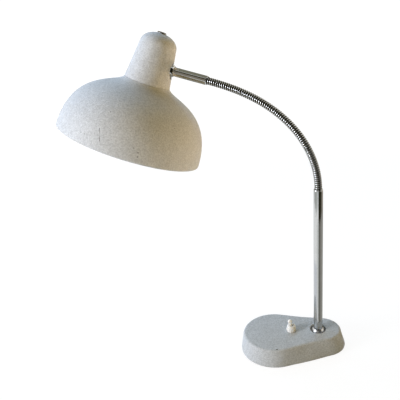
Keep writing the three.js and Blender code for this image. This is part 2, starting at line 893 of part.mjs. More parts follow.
function topNut() {
  const bottom = -seat;
  const shoulder = bottom - nutHeight + nutCrownHeight;
  const profile = [
    [0, bottom - nutBoreDepth],
    [nippleRadius + threadGap, bottom - nutBoreDepth],
    [nippleRadius + threadGap, bottom],
    [nutRadius, bottom],
    [nutRadius, shoulder],
    [nutRadius - nutCrownHeight, bottom - nutHeight + nutCrownHeight / 4],
    [nutRadius / 2, bottom - nutHeight],
    [0, bottom - nutHeight],
  ];
  const slotZ = ballDown - bottom + nutHeight;
  const slot = box(
    3 * nutRadius, nutSlotWidth, 2 * nutSlotDepth, -headRadiusAtBall, 0, slotZ);
  return cutAway(shadeTurned(profile, sidesSmall), slot);
}

function threadedTube() {
  const top = -nutBoreDepth;
  const profile = [
    [nippleBoreRadius, nippleEnd],
    [nippleRadius, nippleEnd],
    [nippleRadius, top],
    [nippleBoreRadius, top],
  ];
  return shadeTurned(closed(profile), sidesSmall);
}

const clampDiscTop = neckHousingLength - bellCollarHeight + shadeWall + seat;
const clampNutTop = clampDiscTop + clampDiscThickness + seat;

function clampDisc() {
  const bottom = clampDiscTop + clampDiscThickness;
  const hole = nippleRadius + threadGap;
  const profile = [
    [hole, bottom],
    [clampDiscRadius, bottom],
    [clampDiscRadius, clampDiscTop],
    [hole, clampDiscTop],
  ];
  const windows = [];
  for (let i = 0; i < clampDiscWindows; i++) {
    const angle = (2 * Math.PI * (i + 0.5)) / clampDiscWindows;
    const x = clampDiscWindowPitch * Math.cos(angle) - headRadiusAtBall;
    const y = clampDiscWindowPitch * Math.sin(angle);
    const low = ballDown - bottom - overrun;
    const high = ballDown - clampDiscTop + overrun;
    windows.push(cylinder(clampDiscWindowRadius, low, high, sidesWindow).translate(x, y, 0));
  }
  return cutAway(shadeTurned(closed(profile), sidesMedium), ...windows);
}

function clampNut() {
  const top = ballDown - clampNutTop;
  const nut = hexagon(clampNutFlats, nippleRadius + threadGap, top - clampNutHeight, top);
  return nut.translate(-headRadiusAtBall, 0, 0);
}

const holderTop = clampNutTop + clampNutHeight + seat;
const holderSplit = holderTop + holderCapHeight;
const holderMouth = holderSplit + seat + holderHeight;
const nippleEnd = holderTop + nippleGrip;

function holderCap() {
  const hole = nippleRadius + threadGap;
  const socket = nippleEnd + seat;
  const wireHole = nippleBoreRadius;
  const profile = [
    [wireHole, holderSplit],
    [holderRadius, holderSplit],
    [holderRadius, holderSplit - holderFloor],
    [(holderRadius + holderCapTopRadius) / 2, holderTop + holderFloor / 2],
    [holderCapTopRadius, holderTop],
    [hole, holderTop],
    [hole, socket],
    [wireHole, socket],
  ];
  return shadeTurned(closed(profile), sidesSmall);
}

function holderBody() {
  const top = holderSplit + seat;
  const profile = [
    [holderBoreRadius, holderMouth],
    [holderRadius, holderMouth],
    [holderRadius, holderMouth - holderBandHeight],
    [holderRadius - holderBandDepth, holderMouth - holderBandHeight],
    [holderRadius - holderBandDepth, top + holderBandHeight],
    [holderRadius, top + holderBandHeight],
    [holderRadius, top],
    [holderBoreRadius, top],
  ];
  return shadeTurned(closed(profile), sidesSmall);
}

const contactTop = holderSplit + seat;
const bulbPipTop = contactTop + contactThickness + seat;
const bulbCapTop = bulbPipTop + bulbCapPipHeight;
const bulbCapEnd = bulbCapTop + bulbCapLength;

function holderContact() {
  const profile = [
    [0, contactTop + contactThickness],
    [contactRadius, contactTop + contactThickness],
    [contactRadius, contactTop],
    [0, contactTop],
  ];
  return shadeTurned(profile, sidesScrew);
}

function bulbCap() {
  const inner = bulbCapRadius - bulbCapThreadDepth - bulbCapWall;
  const thread = [];
  const steps = 4 * bulbCapTurns;
  for (let i = 0; i <= steps; i++) {
    const share = i / steps;
    const wave = (1 - Math.cos(2 * Math.PI * bulbCapTurns * share)) / 2;
    const radius = bulbCapRadius - bulbCapThreadDepth + bulbCapThreadDepth * wave;
    thread.push([radius, bulbCapTop + bulbCapLength * (0.15 + 0.7 * share)]);
  }
  const profile = [
    [0, bulbPipTop],
    [bulbCapPipRadius, bulbPipTop],
    [inner, bulbCapTop],
    ...thread,
    [bulbCapRadius - bulbCapThreadDepth, bulbCapEnd],
    [inner, bulbCapEnd],
    [inner, bulbCapTop + bulbCapWall],
    [0, bulbCapTop + bulbCapWall],
  ];
  return shadeTurned(profile.reverse(), sidesSmall);
}

function bulbGlass() {
  const neckTop = bulbCapEnd + seat;
  const neckRise = sphereDepthAt(bulbRadius, bulbNeckRadius);
  const centre = neckTop + bulbNeckLength + neckRise;
  const shell = (radius, neckRadius, steps) =>
    sphereProfile(radius, sphereDepthAt(radius, neckRadius), -radius, steps).map(
      ([r, z]) => [r, centre - z]);
  const innerRadius = bulbRadius - bulbWall;
  const innerNeck = bulbNeckRadius - bulbWall;
  const glassSteps = 7;
  const profile = [
    ...shell(innerRadius, innerNeck, glassSteps - 1).reverse(),
    [innerNeck, neckTop],
    [bulbNeckRadius, neckTop],
    ...shell(bulbRadius, bulbNeckRadius, glassSteps),
  ];
  return shadeTurned(profile.reverse(), sidesSmall);
}

// Switch, made round Z through the middle of its bushing, with heights from the table

function switchCase() {
  const shape = new THREE.Shape();
  const [w, l, r] = [caseWidth / 2, caseLength / 2, caseCornerRadius];
  shape.moveTo(-w + r, -l);
  shape.lineTo(w - r, -l).absarc(w - r, -l + r, r, -Math.PI / 2, 0, false);
  shape.lineTo(w, l - r).absarc(w - r, l - r, r, 0, Math.PI / 2, false);
  shape.lineTo(-w + r, l).absarc(-w + r, l - r, r, Math.PI / 2, Math.PI, false);
  shape.lineTo(-w, -l + r).absarc(-w + r, -l + r, r, Math.PI, 1.5 * Math.PI, false);
  const options = { depth: caseHeight, bevelEnabled: false, curveSegments: 3 };
  const bottom = roofUnderside - locknutHeight - seat - caseHeight;
  return new THREE.ExtrudeGeometry(shape, options).translate(0, 0, bottom);
}

function switchBushing() {
  const bottom = roofUnderside - locknutHeight;
  const top = footHeight + switchBushStand;
  return ring(switchBushBoreRadius, switchBushRadius, bottom, top, sidesSmall);
}

function switchLocknut() {
  const bore = switchBushRadius + threadGap;
  return hexagon(locknutFlats, bore, roofUnderside - locknutHeight, roofUnderside);
}

function switchCollar() {
  const bore = switchBushRadius + threadGap;
  const mouthZ = footHeight + collarHeight - collarMouthDepth;
  const waist = (collarFlangeRadius + collarTopRadius) / 2;
  const profile = [
    [bore, footHeight],
    [collarFlangeRadius, footHeight],
    [collarFlangeRadius, footHeight + collarFlangeHeight],
    [waist, footHeight + collarFlangeHeight + (collarFlangeRadius - waist)],
    [collarTopRadius, mouthZ],
    [collarTopRadius, footHeight + collarHeight - collarShoulder],
    [collarTopRadius - collarShoulder, footHeight + collarHeight],
    [collarMouthRadius, footHeight + collarHeight],
    [collarMouthRadius, mouthZ],
    [bore, mouthZ],
  ];
  const flutes = [];
  for (let i = 0; i < collarFlutes; i++) {
    const angle = (2 * Math.PI * i) / collarFlutes;
    const x = (collarFlangeRadius + collarFluteRadius / 3) * Math.cos(angle);
    const y = (collarFlangeRadius + collarFluteRadius / 3) * Math.sin(angle);
    const top = footHeight + collarFlangeHeight + overrun;
    flutes.push(cylinder(collarFluteRadius, footHeight - overrun, top, 6).translate(x, y, 0));
  }
  return cutAway(turned(closed(profile), 2 * collarFlutes), ...flutes);
}

// The lever, made round its pivot with its tip towards +Z
function switchLever() {
  const tipBottom = leverReach - sphereDepthAt(leverTipRadius, leverStalkRadius);
  const tip = sphereProfile(leverTipRadius, tipBottom - leverReach, leverTipRadius, 6);
  const profile = [
    ...sphereProfile(leverPivotRadius, -leverPivotRadius, leverPivotRadius / 2, 4),
    [leverRootRadius, leverPivotRadius],
    [leverStalkRadius, tipBottom],
    ...tip.slice(1).map(([r, z]) => [r, z + leverReach]),
  ];
  return turned(profile, sidesSmall);
}

function terminalScrew() {
  const head = cylinder(terminalRadius, 0, terminalHeight, sidesScrew);
  const slot = box(
    3 * terminalRadius, terminalSlot, terminalHeight, 0, 0, terminalHeight);
  return cutAway(head, slot);
}

// Assembly

const lamp = new THREE.Group();
lamp.name = "desk_lamp";

function buildFoot() {
  const foot = new THREE.Group();
  foot.name = "foot";
  add(foot, "foot_casting", footCasting(), greyLacquer);
  add(foot, "base_plate", basePlate(), plainSteel);
  add(foot, "base_felt", baseFelt(), greenFelt);
  plateScrewPlaces.forEach(([x, y], i) => {
    add(foot, `plate_screw_${i + 1}`, plateScrew(), plainSteel).position.set(x, y, 0);
  });
  add(foot, "cord_bush", cordBush(), blackRubber);
  const joint = new THREE.Group();
  joint.name = "base_joint";
  joint.position.z = ballHeight;
  add(joint, "socket_ring", retainingRing(), plainSteel);
  add(joint, "base_liner", jointLiner(), fibre);
  add(joint, "base_friction_cup", frictionCup(), brass);
  add(joint, "base_spring_washer", springWasher(), plainSteel);
  add(joint, "socket_plug", jointPlug(), plainSteel);
  foot.add(joint);
  return foot;
}

function buildSwitch() {
  const group = new THREE.Group();
  group.name = "switch";
  group.position.x = switchX;
  add(group, "switch_case", switchCase(), darkPlastic);
  add(group, "switch_bushing", switchBushing(), plainSteel);
  add(group, "switch_locknut", switchLocknut(), plainSteel);
  add(group, "switch_collar", switchCollar(), creamPlastic);
  const lever = add(group, "switch_lever", switchLever(), creamPlastic);
  lever.position.z = footHeight + leverPivotStand;
  lever.rotation.y = -leverLean;
  const caseMiddle = roofUnderside - locknutHeight - seat - caseHeight / 2;
  for (const side of [1, -1]) {
    const name = side > 0 ? "switch_terminal_1" : "switch_terminal_2";
    const screw = add(group, name, terminalScrew(), brass);
    screw.rotation.x = (-side * Math.PI) / 2;
    screw.position.set(0, side * (caseLength / 2 + seat), caseMiddle);
  }
  return group;
}

function buildArm() {
  const arm = new THREE.Group();
  arm.name = "arm";
  arm.rotation.z = -armTurn;
  const stem = new THREE.Group();
  stem.name = "stem";
  stem.position.z = ballHeight;
  add(stem, "stem_ball", ball(), chrome);
  add(stem, "stem_tube", stemTube(), chrome);
  add(stem, "stem_ferrule", stemFerrule(), chrome);
  arm.add(stem);
  for (let i = 0; i < neckSegments; i++) {
    const name = `neck_segment_${String(i + 1).padStart(2, "0")}`;
    add(arm, name, neckSegment(i), chrome);
  }
  const end = neckPlace(neckLength);
  const headArm = new THREE.Group();
  headArm.name = "head_arm";
  headArm.position.set(
    end.x - headTubeLength * Math.sin(end.angle),
    0,
    end.z + headTubeLength * Math.cos(end.angle),
  );
  headArm.rotation.y = Math.PI - end.angle;
  add(headArm, "head_tube", headTube(), chrome);
  add(headArm, "head_ball", ball(), chrome);
  arm.add(headArm);
  const head = buildHead();
  head.position.copy(headArm.position);
  arm.add(head);
  return arm;
}

// The head's own frame has its origin at the ball, +Z up the shade's axis and +X out to the arm
function buildHead() {
  const head = new THREE.Group();
  head.name = "head";
  head.rotation.set(-shadeRoll, shadePitch, shadeSwing, "YXZ");
  add(head, "neck_housing", neckHousing(), greyLacquer);
  add(head, "bell_shade", bellShade(), greyLacquer);
  add(head, "head_socket", headSocket(), plainSteel);
  add(head, "head_liner", outThroughHousing(jointLiner()), fibre);
  add(head, "head_friction_cup", outThroughHousing(frictionCup()), brass);
  add(head, "head_spring_washer", outThroughHousing(springWasher()), plainSteel);
  add(head, "head_socket_plug", outThroughHousing(jointPlug()), plainSteel);
  add(head, "top_nut", topNut(), chrome);
  add(head, "threaded_tube", threadedTube(), plainSteel);
  add(head, "clamp_disc", clampDisc(), plainSteel);
  add(head, "clamp_nut", clampNut(), plainSteel);
  add(head, "holder_cap", holderCap(), darkPlastic);
  add(head, "holder_body", holderBody(), darkPlastic);
  add(head, "holder_contact", holderContact(), brass);
  add(head, "bulb_cap", bulbCap(), brass);
  add(head, "bulb_glass", bulbGlass(), opalGlass);
  return head;
}

lamp.add(buildFoot(), buildSwitch(), buildArm());

export default lamp;
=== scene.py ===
import json
import math

import bmesh
import bpy
from mathutils import Matrix, Vector


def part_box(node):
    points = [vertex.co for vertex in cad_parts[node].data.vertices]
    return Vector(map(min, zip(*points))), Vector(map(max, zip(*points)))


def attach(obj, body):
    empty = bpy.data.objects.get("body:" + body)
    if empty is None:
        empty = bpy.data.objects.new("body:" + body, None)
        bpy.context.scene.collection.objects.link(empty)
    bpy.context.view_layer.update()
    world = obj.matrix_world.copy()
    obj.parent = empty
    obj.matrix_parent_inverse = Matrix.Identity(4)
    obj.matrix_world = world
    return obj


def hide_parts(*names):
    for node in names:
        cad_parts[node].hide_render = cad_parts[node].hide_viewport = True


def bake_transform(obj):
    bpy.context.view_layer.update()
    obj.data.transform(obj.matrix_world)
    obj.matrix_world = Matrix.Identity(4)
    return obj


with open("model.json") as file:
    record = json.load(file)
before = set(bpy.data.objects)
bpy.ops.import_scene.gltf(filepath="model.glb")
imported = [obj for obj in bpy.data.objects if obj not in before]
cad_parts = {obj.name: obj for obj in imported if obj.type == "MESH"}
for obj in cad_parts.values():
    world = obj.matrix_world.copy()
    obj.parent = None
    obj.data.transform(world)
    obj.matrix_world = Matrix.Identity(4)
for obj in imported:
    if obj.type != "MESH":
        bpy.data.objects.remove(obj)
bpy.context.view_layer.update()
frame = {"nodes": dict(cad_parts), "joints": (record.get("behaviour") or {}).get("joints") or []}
joints = {joint["name"]: joint for joint in frame["joints"]}


# Camera
# It stands in front of the lamp and above it, turned a little about its own line of sight, so that
# the stem looks upright in the picture. Focal length and frame are in pixels of the 400 px picture.
picture_width = 400
focal_length = 598.64
camera_place = Vector((-0.12604, -0.68282, 0.54033))
camera_yaw = math.radians(1.80)
camera_pitch = math.radians(-24.14)
camera_roll = math.radians(-4.99)

camera = bpy.data.objects.new("camera", bpy.data.cameras.new("camera"))
bpy.context.scene.collection.objects.link(camera)
camera.data.sensor_width = 36
camera.data.lens = camera.data.sensor_width * focal_length / picture_width
camera.matrix_world = (
    Matrix.Translation(camera_place)
    @ Matrix.Rotation(camera_yaw, 4, "Z")
    @ Matrix.Rotation(math.pi / 2 + camera_pitch, 4, "X")
    @ Matrix.Rotation(camera_roll, 4, "Z")
)
bpy.context.scene.camera = camera


# Foot casting
# Grey cast iron, hollow underneath, with a flat top and drafted flanks. The ball housing and the
# three screw bosses are cast in one with it, and then bored. Lengths are in mm from here on, and
# add_piece brings them to metres.
mm = 0.001
foot_height = 26.6
foot_bottom = 1.0
toe_radius = 28.8
toe_x = 7.9
heel_radius = 45.8
heel_x = toe_x - 68.6
edge_height = 4.2
edge_inset = 6.4
draft = 3.0
flank_hollow = 1.2
flank_swell = 0.8
toe_tuck = 2.6
wall = 8.5
roof_underside = foot_height - 7.0
ledge_height = 3.0
recess_inset = 3.0
toe_steps = 40
heel_steps = 72
flank_steps = 24
flank_angle = math.acos((heel_radius - toe_radius) / (toe_x - heel_x))
ball_centre = Vector(joints["base_swivel"]["pos_m"]) / mm
hole_radius = 10.6
bore_radius = 12.2
lip_height = ball_centre.z + 3.0
boss_radius = 16.0
boss_bottom = ball_centre.z - 16.2
screw_boxes = [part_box(f"plate_screw_{i}") for i in (1, 2, 3)]
screw_places = [(low + high) / 2 / mm for low, high in screw_boxes]
screw_boss_radius = 4.8
screw_hole_radius = 1.7
switch_x = joints["switch_toggle"]["pos_m"][0] / mm
switch_hole_radius = 4.4
cord_bush_box = [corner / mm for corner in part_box("cord_bush")]
cord_bush_middle = (cord_bush_box[0] + cord_bush_box[1]) / 2
cord_hole_radius = 5.1
spot_face_radius = 7.1
spot_face_y = cord_bush_box[1].y - 2.3
overshoot = 5.0
crease_angle = math.radians(35)


def spun_end(bm, vert, centre, angle, step, steps):
    """Draws a point out into a line, round a centre or a step at a time, and gives its end."""
    spun = bmesh.ops.spin(
        bm, geom=[vert], cent=centre, axis=(0, 0, 1), angle=angle, dvec=step, steps=steps)
    return next(end for end in spun["geom_last"] if isinstance(end, bmesh.types.BMVert))


def foot_level(bm, height, inset, bow, tuck=0):
    """One level of the pear outline: an arc at the toe and one at the heel, and bowed flanks."""
    before = set(bm.edges)
    arcs = []
    for x, radius, start, sweep, steps in (
        (toe_x - tuck, toe_radius, -flank_angle, 2 * flank_angle, toe_steps),
        (heel_x, heel_radius, flank_angle, 2 * (math.pi - flank_angle), heel_steps),
    ):
        reach = radius - inset
        first = bm.verts.new((x + reach * math.cos(start), reach * math.sin(start), height))
        arcs.append((first, spun_end(bm, first, (x, 0, height), sweep, (0, 0, 0), steps)))
    toe, heel = arcs
    for start, end, side in ((toe[1], heel[0], 1), (heel[1], toe[0], -1)):
        others = set(bm.verts)
        outward = Vector((math.cos(flank_angle), side * math.sin(flank_angle), 0))
        step = (end.co - start.co) / flank_steps
        last = spun_end(bm, start, start.co, 0, step, flank_steps - 1)
        bm.edges.new((last, end))
        for vert in set(bm.verts) - others:
            share = (vert.co - start.co).length / (end.co - start.co).length
            vert.co += outward * bow * math.sin(math.pi * share) ** 2
    return [edge for edge in bm.edges if edge not in before]


def skin_levels(levels):
    """Joins a stack of foot levels, each (height, inset, bow, tuck), and closes both ends."""
    bm = bmesh.new()
    loops = [foot_level(bm, *level) for level in levels]
    for lower, upper in zip(loops, loops[1:]):
        bmesh.ops.bridge_loops(bm, edges=lower + upper)
    for end in (loops[0], loops[-1]):
        bmesh.ops.edgeloop_fill(bm, edges=end)
    bmesh.ops.recalc_face_normals(bm, faces=bm.faces)
    return bm


def turned(outline, steps=96):
    """Spins an outline about Z: points of (radius, height) or (radius, height, rounding), in mm."""
    bm = bmesh.new()
    points = [bm.verts.new((point[0], 0, point[1])) for point in outline]
    for start, end in zip(points, points[1:]):
        bm.edges.new((start, end))
    if outline[0][0] > 0 or outline[-1][0] > 0:
        bm.edges.new((points[-1], points[0]))
    for rounding in {point[2] for point in outline if len(point) > 2}:
        corners = [v for v, point in zip(points, outline) if point[2:] == (rounding,)]
        bmesh.ops.bevel(
            bm, geom=corners, offset=rounding, segments=4, profile=0.5,
            affect="VERTICES", material=-1)
    bmesh.ops.spin(
        bm, geom=bm.verts[:] + bm.edges[:], cent=(0, 0, 0), axis=(0, 0, 1),
        angle=2 * math.pi, steps=steps, use_merge=True)
    bmesh.ops.remove_doubles(bm, verts=bm.verts, dist=0.001)
    bmesh.ops.recalc_face_normals(bm, faces=bm.faces)
    return bm


def rod(radius, bottom, top, x=0, y=0):
    """A plain round tool for boring or for a boss, in mm."""
    bm = turned([(0, bottom), (radius, bottom), (radius, top), (0, top)], 64)
    bm.transform(Matrix.Translation((x, y, 0)))
    return bm


def combine(bm, tool, operation):
    """Joins a tool to a piece, or cuts it away, and frees the tool."""
    sides = []
    for part in (bm, tool):
        mesh = bpy.data.meshes.new("side")
        part.to_mesh(mesh)
        sides.append(bpy.data.objects.new("side", mesh))
        bpy.context.scene.collection.objects.link(sides[-1])
    modifier = sides[0].modifiers.new("combine", "BOOLEAN")
    modifier.operation = operation
    modifier.solver = "EXACT"
    modifier.object = sides[1]
    evaluated = sides[0].evaluated_get(bpy.context.evaluated_depsgraph_get())
    bm.clear()
    bm.from_mesh(evaluated.to_mesh())
    bmesh.ops.remove_doubles(bm, verts=bm.verts, dist=0.001)
    tool.free()
    for side in sides:
        bpy.data.meshes.remove(side.data)


def combine_ring(bm, count, reach, radius, bottom, top, operation, turn=0):
    """Joins or cuts away a ring of rods, evenly spaced round Z."""
    for index in range(count):
        angle = 2 * math.pi * (index + turn) / count
        x, y = reach * math.cos(angle), reach * math.sin(angle)
        combine(bm, rod(radius, bottom, top, x, y), operation)


def linear(code):
    """An sRGB hex colour as linear light."""
    shares = [int(code[i : i + 2], 16) / 255 for i in (1, 3, 5)]
    return [s / 12.92 if s < 0.04045 else ((s + 0.055) / 1.055) ** 2.4 for s in shares] + [1.0]


def add_node(tree, kind, inputs, **settings):
    """Adds a node with its settings; an input that is a socket is linked, any other is set."""
    node = tree.nodes.new("ShaderNode" + kind)
    for name, value in settings.items():
        setattr(node, name, value)
    for name, value in inputs.items():
        if isinstance(value, bpy.types.NodeSocket):
            tree.links.new(value, node.inputs[name])
        else:
            node.inputs[name].default_value = value
    return node


def start_material(name, **sockets):
    """A material with a Principled shader whose constant sockets are set by name."""
    made = bpy.data.materials.new(name)
    made.use_nodes = True
    shader = made.node_tree.nodes["Principled BSDF"]
    for socket, value in sockets.items():
        shader.inputs[socket.replace("_", " ")].default_value = value
    coordinates = add_node(made.node_tree, "TexCoord", {})
    return made, made.node_tree, shader, coordinates.outputs["Object"]


def two_tones(tree, shader, place, size, detail, dark, light, **texture):
    """Lets the colour drift between two tones in clouds of a size in mm, and gives the noise."""
    noise = add_node(
        tree, "TexNoise", {"Vector": place, "Scale": 1 / (size * mm), "Detail": detail, **texture})
    tone = add_node(
        tree, "Mix", {0: noise.outputs["Fac"], 6: linear(dark), 7: linear(light)},
        data_type="RGBA")
    tree.links.new(tone.outputs[2], shader.inputs["Base Color"])
    return noise


def add_piece(name, bm, body, material, nodes, place=Matrix.Identity(4)):
    """Turns a bmesh in mm into a smooth piece that rides on a body and replaces CAD solids."""
    bm.transform(Matrix.Scale(mm, 4))
    bm.transform(place)
    mesh = bpy.data.meshes.new(name)
    bm.to_mesh(mesh)
    bm.free()
    mesh.shade_smooth()
    mesh.set_sharp_from_angle(angle=crease_angle)
    mesh.materials.append(material)
    piece = bpy.data.objects.new(name, mesh)
    bpy.context.scene.collection.objects.link(piece)
    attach(piece, body)
    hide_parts(*nodes)
    return piece


def marked(tree, place, colour, marks, paint):
    """Lays ragged chips and scratches over a colour; a mark is (start, end, width) in mm."""
    ragged = add_node(
        tree, "TexNoise", {"Vector": place, "Scale": 1 / (0.9 * mm), "Detail": 2.0})
    edge = add_node(
        tree, "MapRange", {"Value": ragged.outputs["Fac"], "To Min": 1.6, "To Max": 0.4})
    for start, end, width in marks:
        stroke = (Vector(end) - Vector(start)) * mm
        length = stroke.length
        heading = stroke.normalized()
        offset = add_node(
            tree, "VectorMath", {0: place, 1: Vector(start) * mm}, operation="SUBTRACT")
        along = add_node(
            tree, "VectorMath", {0: offset.outputs["Vector"], 1: heading},
            operation="DOT_PRODUCT")
        held = add_node(
            tree, "Clamp", {"Value": along.outputs["Value"], "Min": 0.0, "Max": length})
        nearest = add_node(
            tree, "VectorMath", {0: heading, "Scale": held.outputs[0]}, operation="SCALE")
        reach = add_node(
            tree, "VectorMath", {0: offset.outputs["Vector"], 1: nearest.outputs["Vector"]},
            operation="DISTANCE")
        ragged_reach = add_node(
            tree, "Math", {0: reach.outputs["Value"], 1: edge.outputs["Result"]},
            operation="MULTIPLY")
        mask = add_node(
            tree, "MapRange",
            {"Value": ragged_reach.outputs[0],
             "From Min": width / 2 * mm, "From Max": width / 3 * mm})
        laid = add_node(
            tree, "Mix", {0: mask.outputs["Result"], 6: colour, 7: linear(paint)},
            data_type="RGBA")
        colour = laid.outputs[2]
    return colour


# Stoved wrinkle lacquer on iron or sheet. It dries in fine grains about a millimetre across, which
# take the gloss off and give the eye a soft, sandy grey. Chips show the dark primer below it.
def wrinkle_lacquer(name, light, dark, chips, bare_spots):
    """The lacquer in two tones, with chips down to the primer and spots of bare metal."""
    grain_size = 1.7
    blotch_size = 6.0
    cloud_size = 34.0
    made, tree, shader, place = start_material(name, Roughness=0.62, IOR=1.5)
    grain = add_node(
        tree, "TexNoise",
        {"Vector": place, "Scale": 1 / (grain_size * mm), "Detail": 3.0, "Roughness": 0.6})
    blotch = add_node(
        tree, "TexNoise", {"Vector": place, "Scale": 1 / (blotch_size * mm), "Detail": 2.0})
    cloud = add_node(
        tree, "TexNoise", {"Vector": place, "Scale": 1 / (cloud_size * mm), "Detail": 3.0})
    grain_tone = add_node(
        tree, "MapRange",
        {"Value": grain.outputs["Fac"], "From Min": 0.34, "From Max": 0.66})
    tone = add_node(
        tree, "Mix", {0: grain_tone.outputs["Result"], 6: linear(dark), 7: linear(light)},
        data_type="RGBA")
    blotch_tone = add_node(
        tree, "MapRange",
        {"Value": blotch.outputs["Fac"], "From Min": 0.3, "From Max": 0.7,
         "To Min": 0.96, "To Max": 1.04})
    cloud_tone = add_node(
        tree, "MapRange",
        {"Value": cloud.outputs["Fac"], "From Min": 0.3, "From Max": 0.7,
         "To Min": 0.96, "To Max": 1.02})
    unevenness = add_node(
        tree, "Math", {0: blotch_tone.outputs["Result"], 1: cloud_tone.outputs["Result"]},
        operation="MULTIPLY")
    shaded = add_node(
        tree, "VectorMath",
        {0: tone.outputs[2], "Scale": unevenness.outputs[0]}, operation="SCALE")
    colour = marked(tree, place, shaded.outputs["Vector"], chips, "#4A4540")
    colour = marked(tree, place, colour, bare_spots, "#DCD8CE")
    tree.links.new(colour, shader.inputs["Base Color"])
    bump = add_node(
        tree, "Bump",
        {"Height": grain.outputs["Fac"], "Strength": 0.8, "Distance": 0.4 * mm})
    tree.links.new(bump.outputs["Normal"], shader.inputs["Normal"])
    return made


def spots(*places):
    """Round marks: each place is (x, y, z, width)."""
    return [((x, y, z), (x, y, z + 0.1), width) for x, y, z, width in places]


foot_chips = spots(
    (-61.6, -39.5, 26.2, 2.6), (-30.0, -35.0, 25.4, 0.9), (-2.5, -31.0, 22.0, 0.9),
    (24.5, -22.6, 24.5, 1.4), (20.5, -25.4, 20.0, 1.1))
foot_bare_spots = spots((-47.9, 9.6, 26.6, 1.6))
foot_lacquer = wrinkle_lacquer(
    "wrinkle_lacquer_foot", "#CBCECF", "#ABAEAF", foot_chips, foot_bare_spots)

flank_levels = 4
edge_levels = 9
flank_bottom = foot_bottom + 1.5
edge_bottom = foot_height - edge_height
casting_levels = [
    (foot_bottom, 0.7, flank_swell),
    (foot_bottom + 0.6, 0.15, flank_swell),
    (flank_bottom, 0, flank_swell),
]
for step in range(1, flank_levels + 1):
    rise = step / flank_levels
    casting_levels.append((
        flank_bottom + (edge_bottom - flank_bottom) * rise,
        draft * rise,
        flank_swell - (flank_swell + flank_hollow) * rise,
        toe_tuck * rise,
    ))
for step in range(1, edge_levels + 1):
    angle = step / edge_levels * math.pi / 2
    inset = draft + (edge_inset - draft) * (1 - math.cos(angle))
    height = edge_bottom + edge_height * math.sin(angle)
    casting_levels.append((height, inset, -flank_hollow, toe_tuck))
casting = skin_levels(casting_levels)
recess = skin_levels([(0, recess_inset, 0), (ledge_height, recess_inset, 0)])
combine(casting, recess, "DIFFERENCE")
hollow = skin_levels([(ledge_height - 1, wall, 0), (roof_underside, wall + 3.5, 0)])
combine(casting, hollow, "DIFFERENCE")
combine(casting, rod(boss_radius, boss_bottom, roof_underside + 1), "UNION")
for spot in screw_places:
    boss = rod(screw_boss_radius, ledge_height + 0.05, roof_underside + 1, spot.x, spot.y)
    combine(casting, boss, "UNION")
ball_bore = turned([
    (0, 0), (bore_radius, 0), (bore_radius, lip_height), (hole_radius, lip_height),
    (hole_radius, foot_height - 0.7, 0.5), (hole_radius + 0.9, foot_height + 0.2),
    (hole_radius + 0.9, foot_height + overshoot), (0, foot_height + overshoot),
], 96)
combine(casting, ball_bore, "DIFFERENCE")
for spot in screw_places:
    hole = rod(screw_hole_radius, 0, ledge_height + 9, spot.x, spot.y)
    combine(casting, hole, "DIFFERENCE")
combine(casting, rod(switch_hole_radius, 0, foot_height + overshoot, switch_x), "DIFFERENCE")
spot_face = turned([
    (0, -20), (cord_hole_radius, -20), (cord_hole_radius, 0), (spot_face_radius, 0),
    (spot_face_radius, 9), (0, 9),
], 64)
out_of_flank = Matrix.Translation((cord_bush_middle.x, spot_face_y, cord_bush_middle.z))
out_of_flank = out_of_flank @ Matrix.Rotation(-math.pi / 2, 4, "X")
spot_face.transform(out_of_flank)
combine(casting, spot_face, "DIFFERENCE")
add_piece(
    "foot_casting_lacquered", casting, "foot", foot_lacquer, ["foot_casting"])


# Cover plate and its screws
# Pressed zinc-plated sheet steel under the foot, held by three slotted screws. The plating is
# dull, with a faint cloudy grain. The hidden nuts, rings and springs of the lamp are plated too.
def plated_steel(name, colour, roughness):
    """A plated metal whose tone and gloss drift in faint clouds."""
    made, tree, shader, place = start_material(name, Metallic=1.0)
    cloud = add_node(
        tree, "TexNoise", {"Vector": place, "Scale": 1 / (6 * mm), "Detail": 4.0})
    dull = add_node(
        tree, "MapRange",
        {"Value": cloud.outputs["Fac"], "To Min": roughness - 0.08, "To Max": roughness + 0.1})
    shade = add_node(
        tree, "MapRange", {"Value": cloud.outputs["Fac"], "To Min": 0.85, "To Max": 1.1})
    tone = add_node(
        tree, "VectorMath", {0: linear(colour)[:3], "Scale": shade.outputs["Result"]},
        operation="SCALE")
    tree.links.new(tone.outputs["Vector"], shader.inputs["Base Color"])
    tree.links.new(dull.outputs["Result"], shader.inputs["Roughness"])
    return made


def dress(material, *names):
    """Gives CAD solids that stay as they are a material."""
    for name in names:
        frame["nodes"][name].data.materials.clear()
        frame["nodes"][name].data.materials.append(material)


zinc_plate = plated_steel("zinc_plated_steel", "#A6A8A9", 0.38)
dress(
    zinc_plate, "base_plate", "plate_screw_1", "plate_screw_2", "plate_screw_3",
    "base_spring_washer", "socket_plug", "switch_locknut", "head_socket", "head_spring_washer",
    "head_socket_plug", "threaded_tube", "clamp_nut")


# Felt under the foot
# A 1.8 mm sheet of pressed wool felt, cut to the outline and glued on, with holes for the screw
# heads. It is a dull dark green, and its edge is a little soft.
felt_inset = 4.0
felt_thickness = 1.8
felt_hole_radius = 4.1

pressed_felt, tree, shader, place = start_material(
    "pressed_wool_felt", Roughness=0.97, Sheen_Weight=0.35, Sheen_Roughness=0.6)
fibres = two_tones(tree, shader, place, 0.8, 6.0, "#2F3A2E", "#5A6652", Distortion=1.5)
bump = add_node(
    tree, "Bump", {"Height": fibres.outputs["Fac"], "Strength": 0.6, "Distance": 0.4 * mm})
tree.links.new(bump.outputs["Normal"], shader.inputs["Normal"])

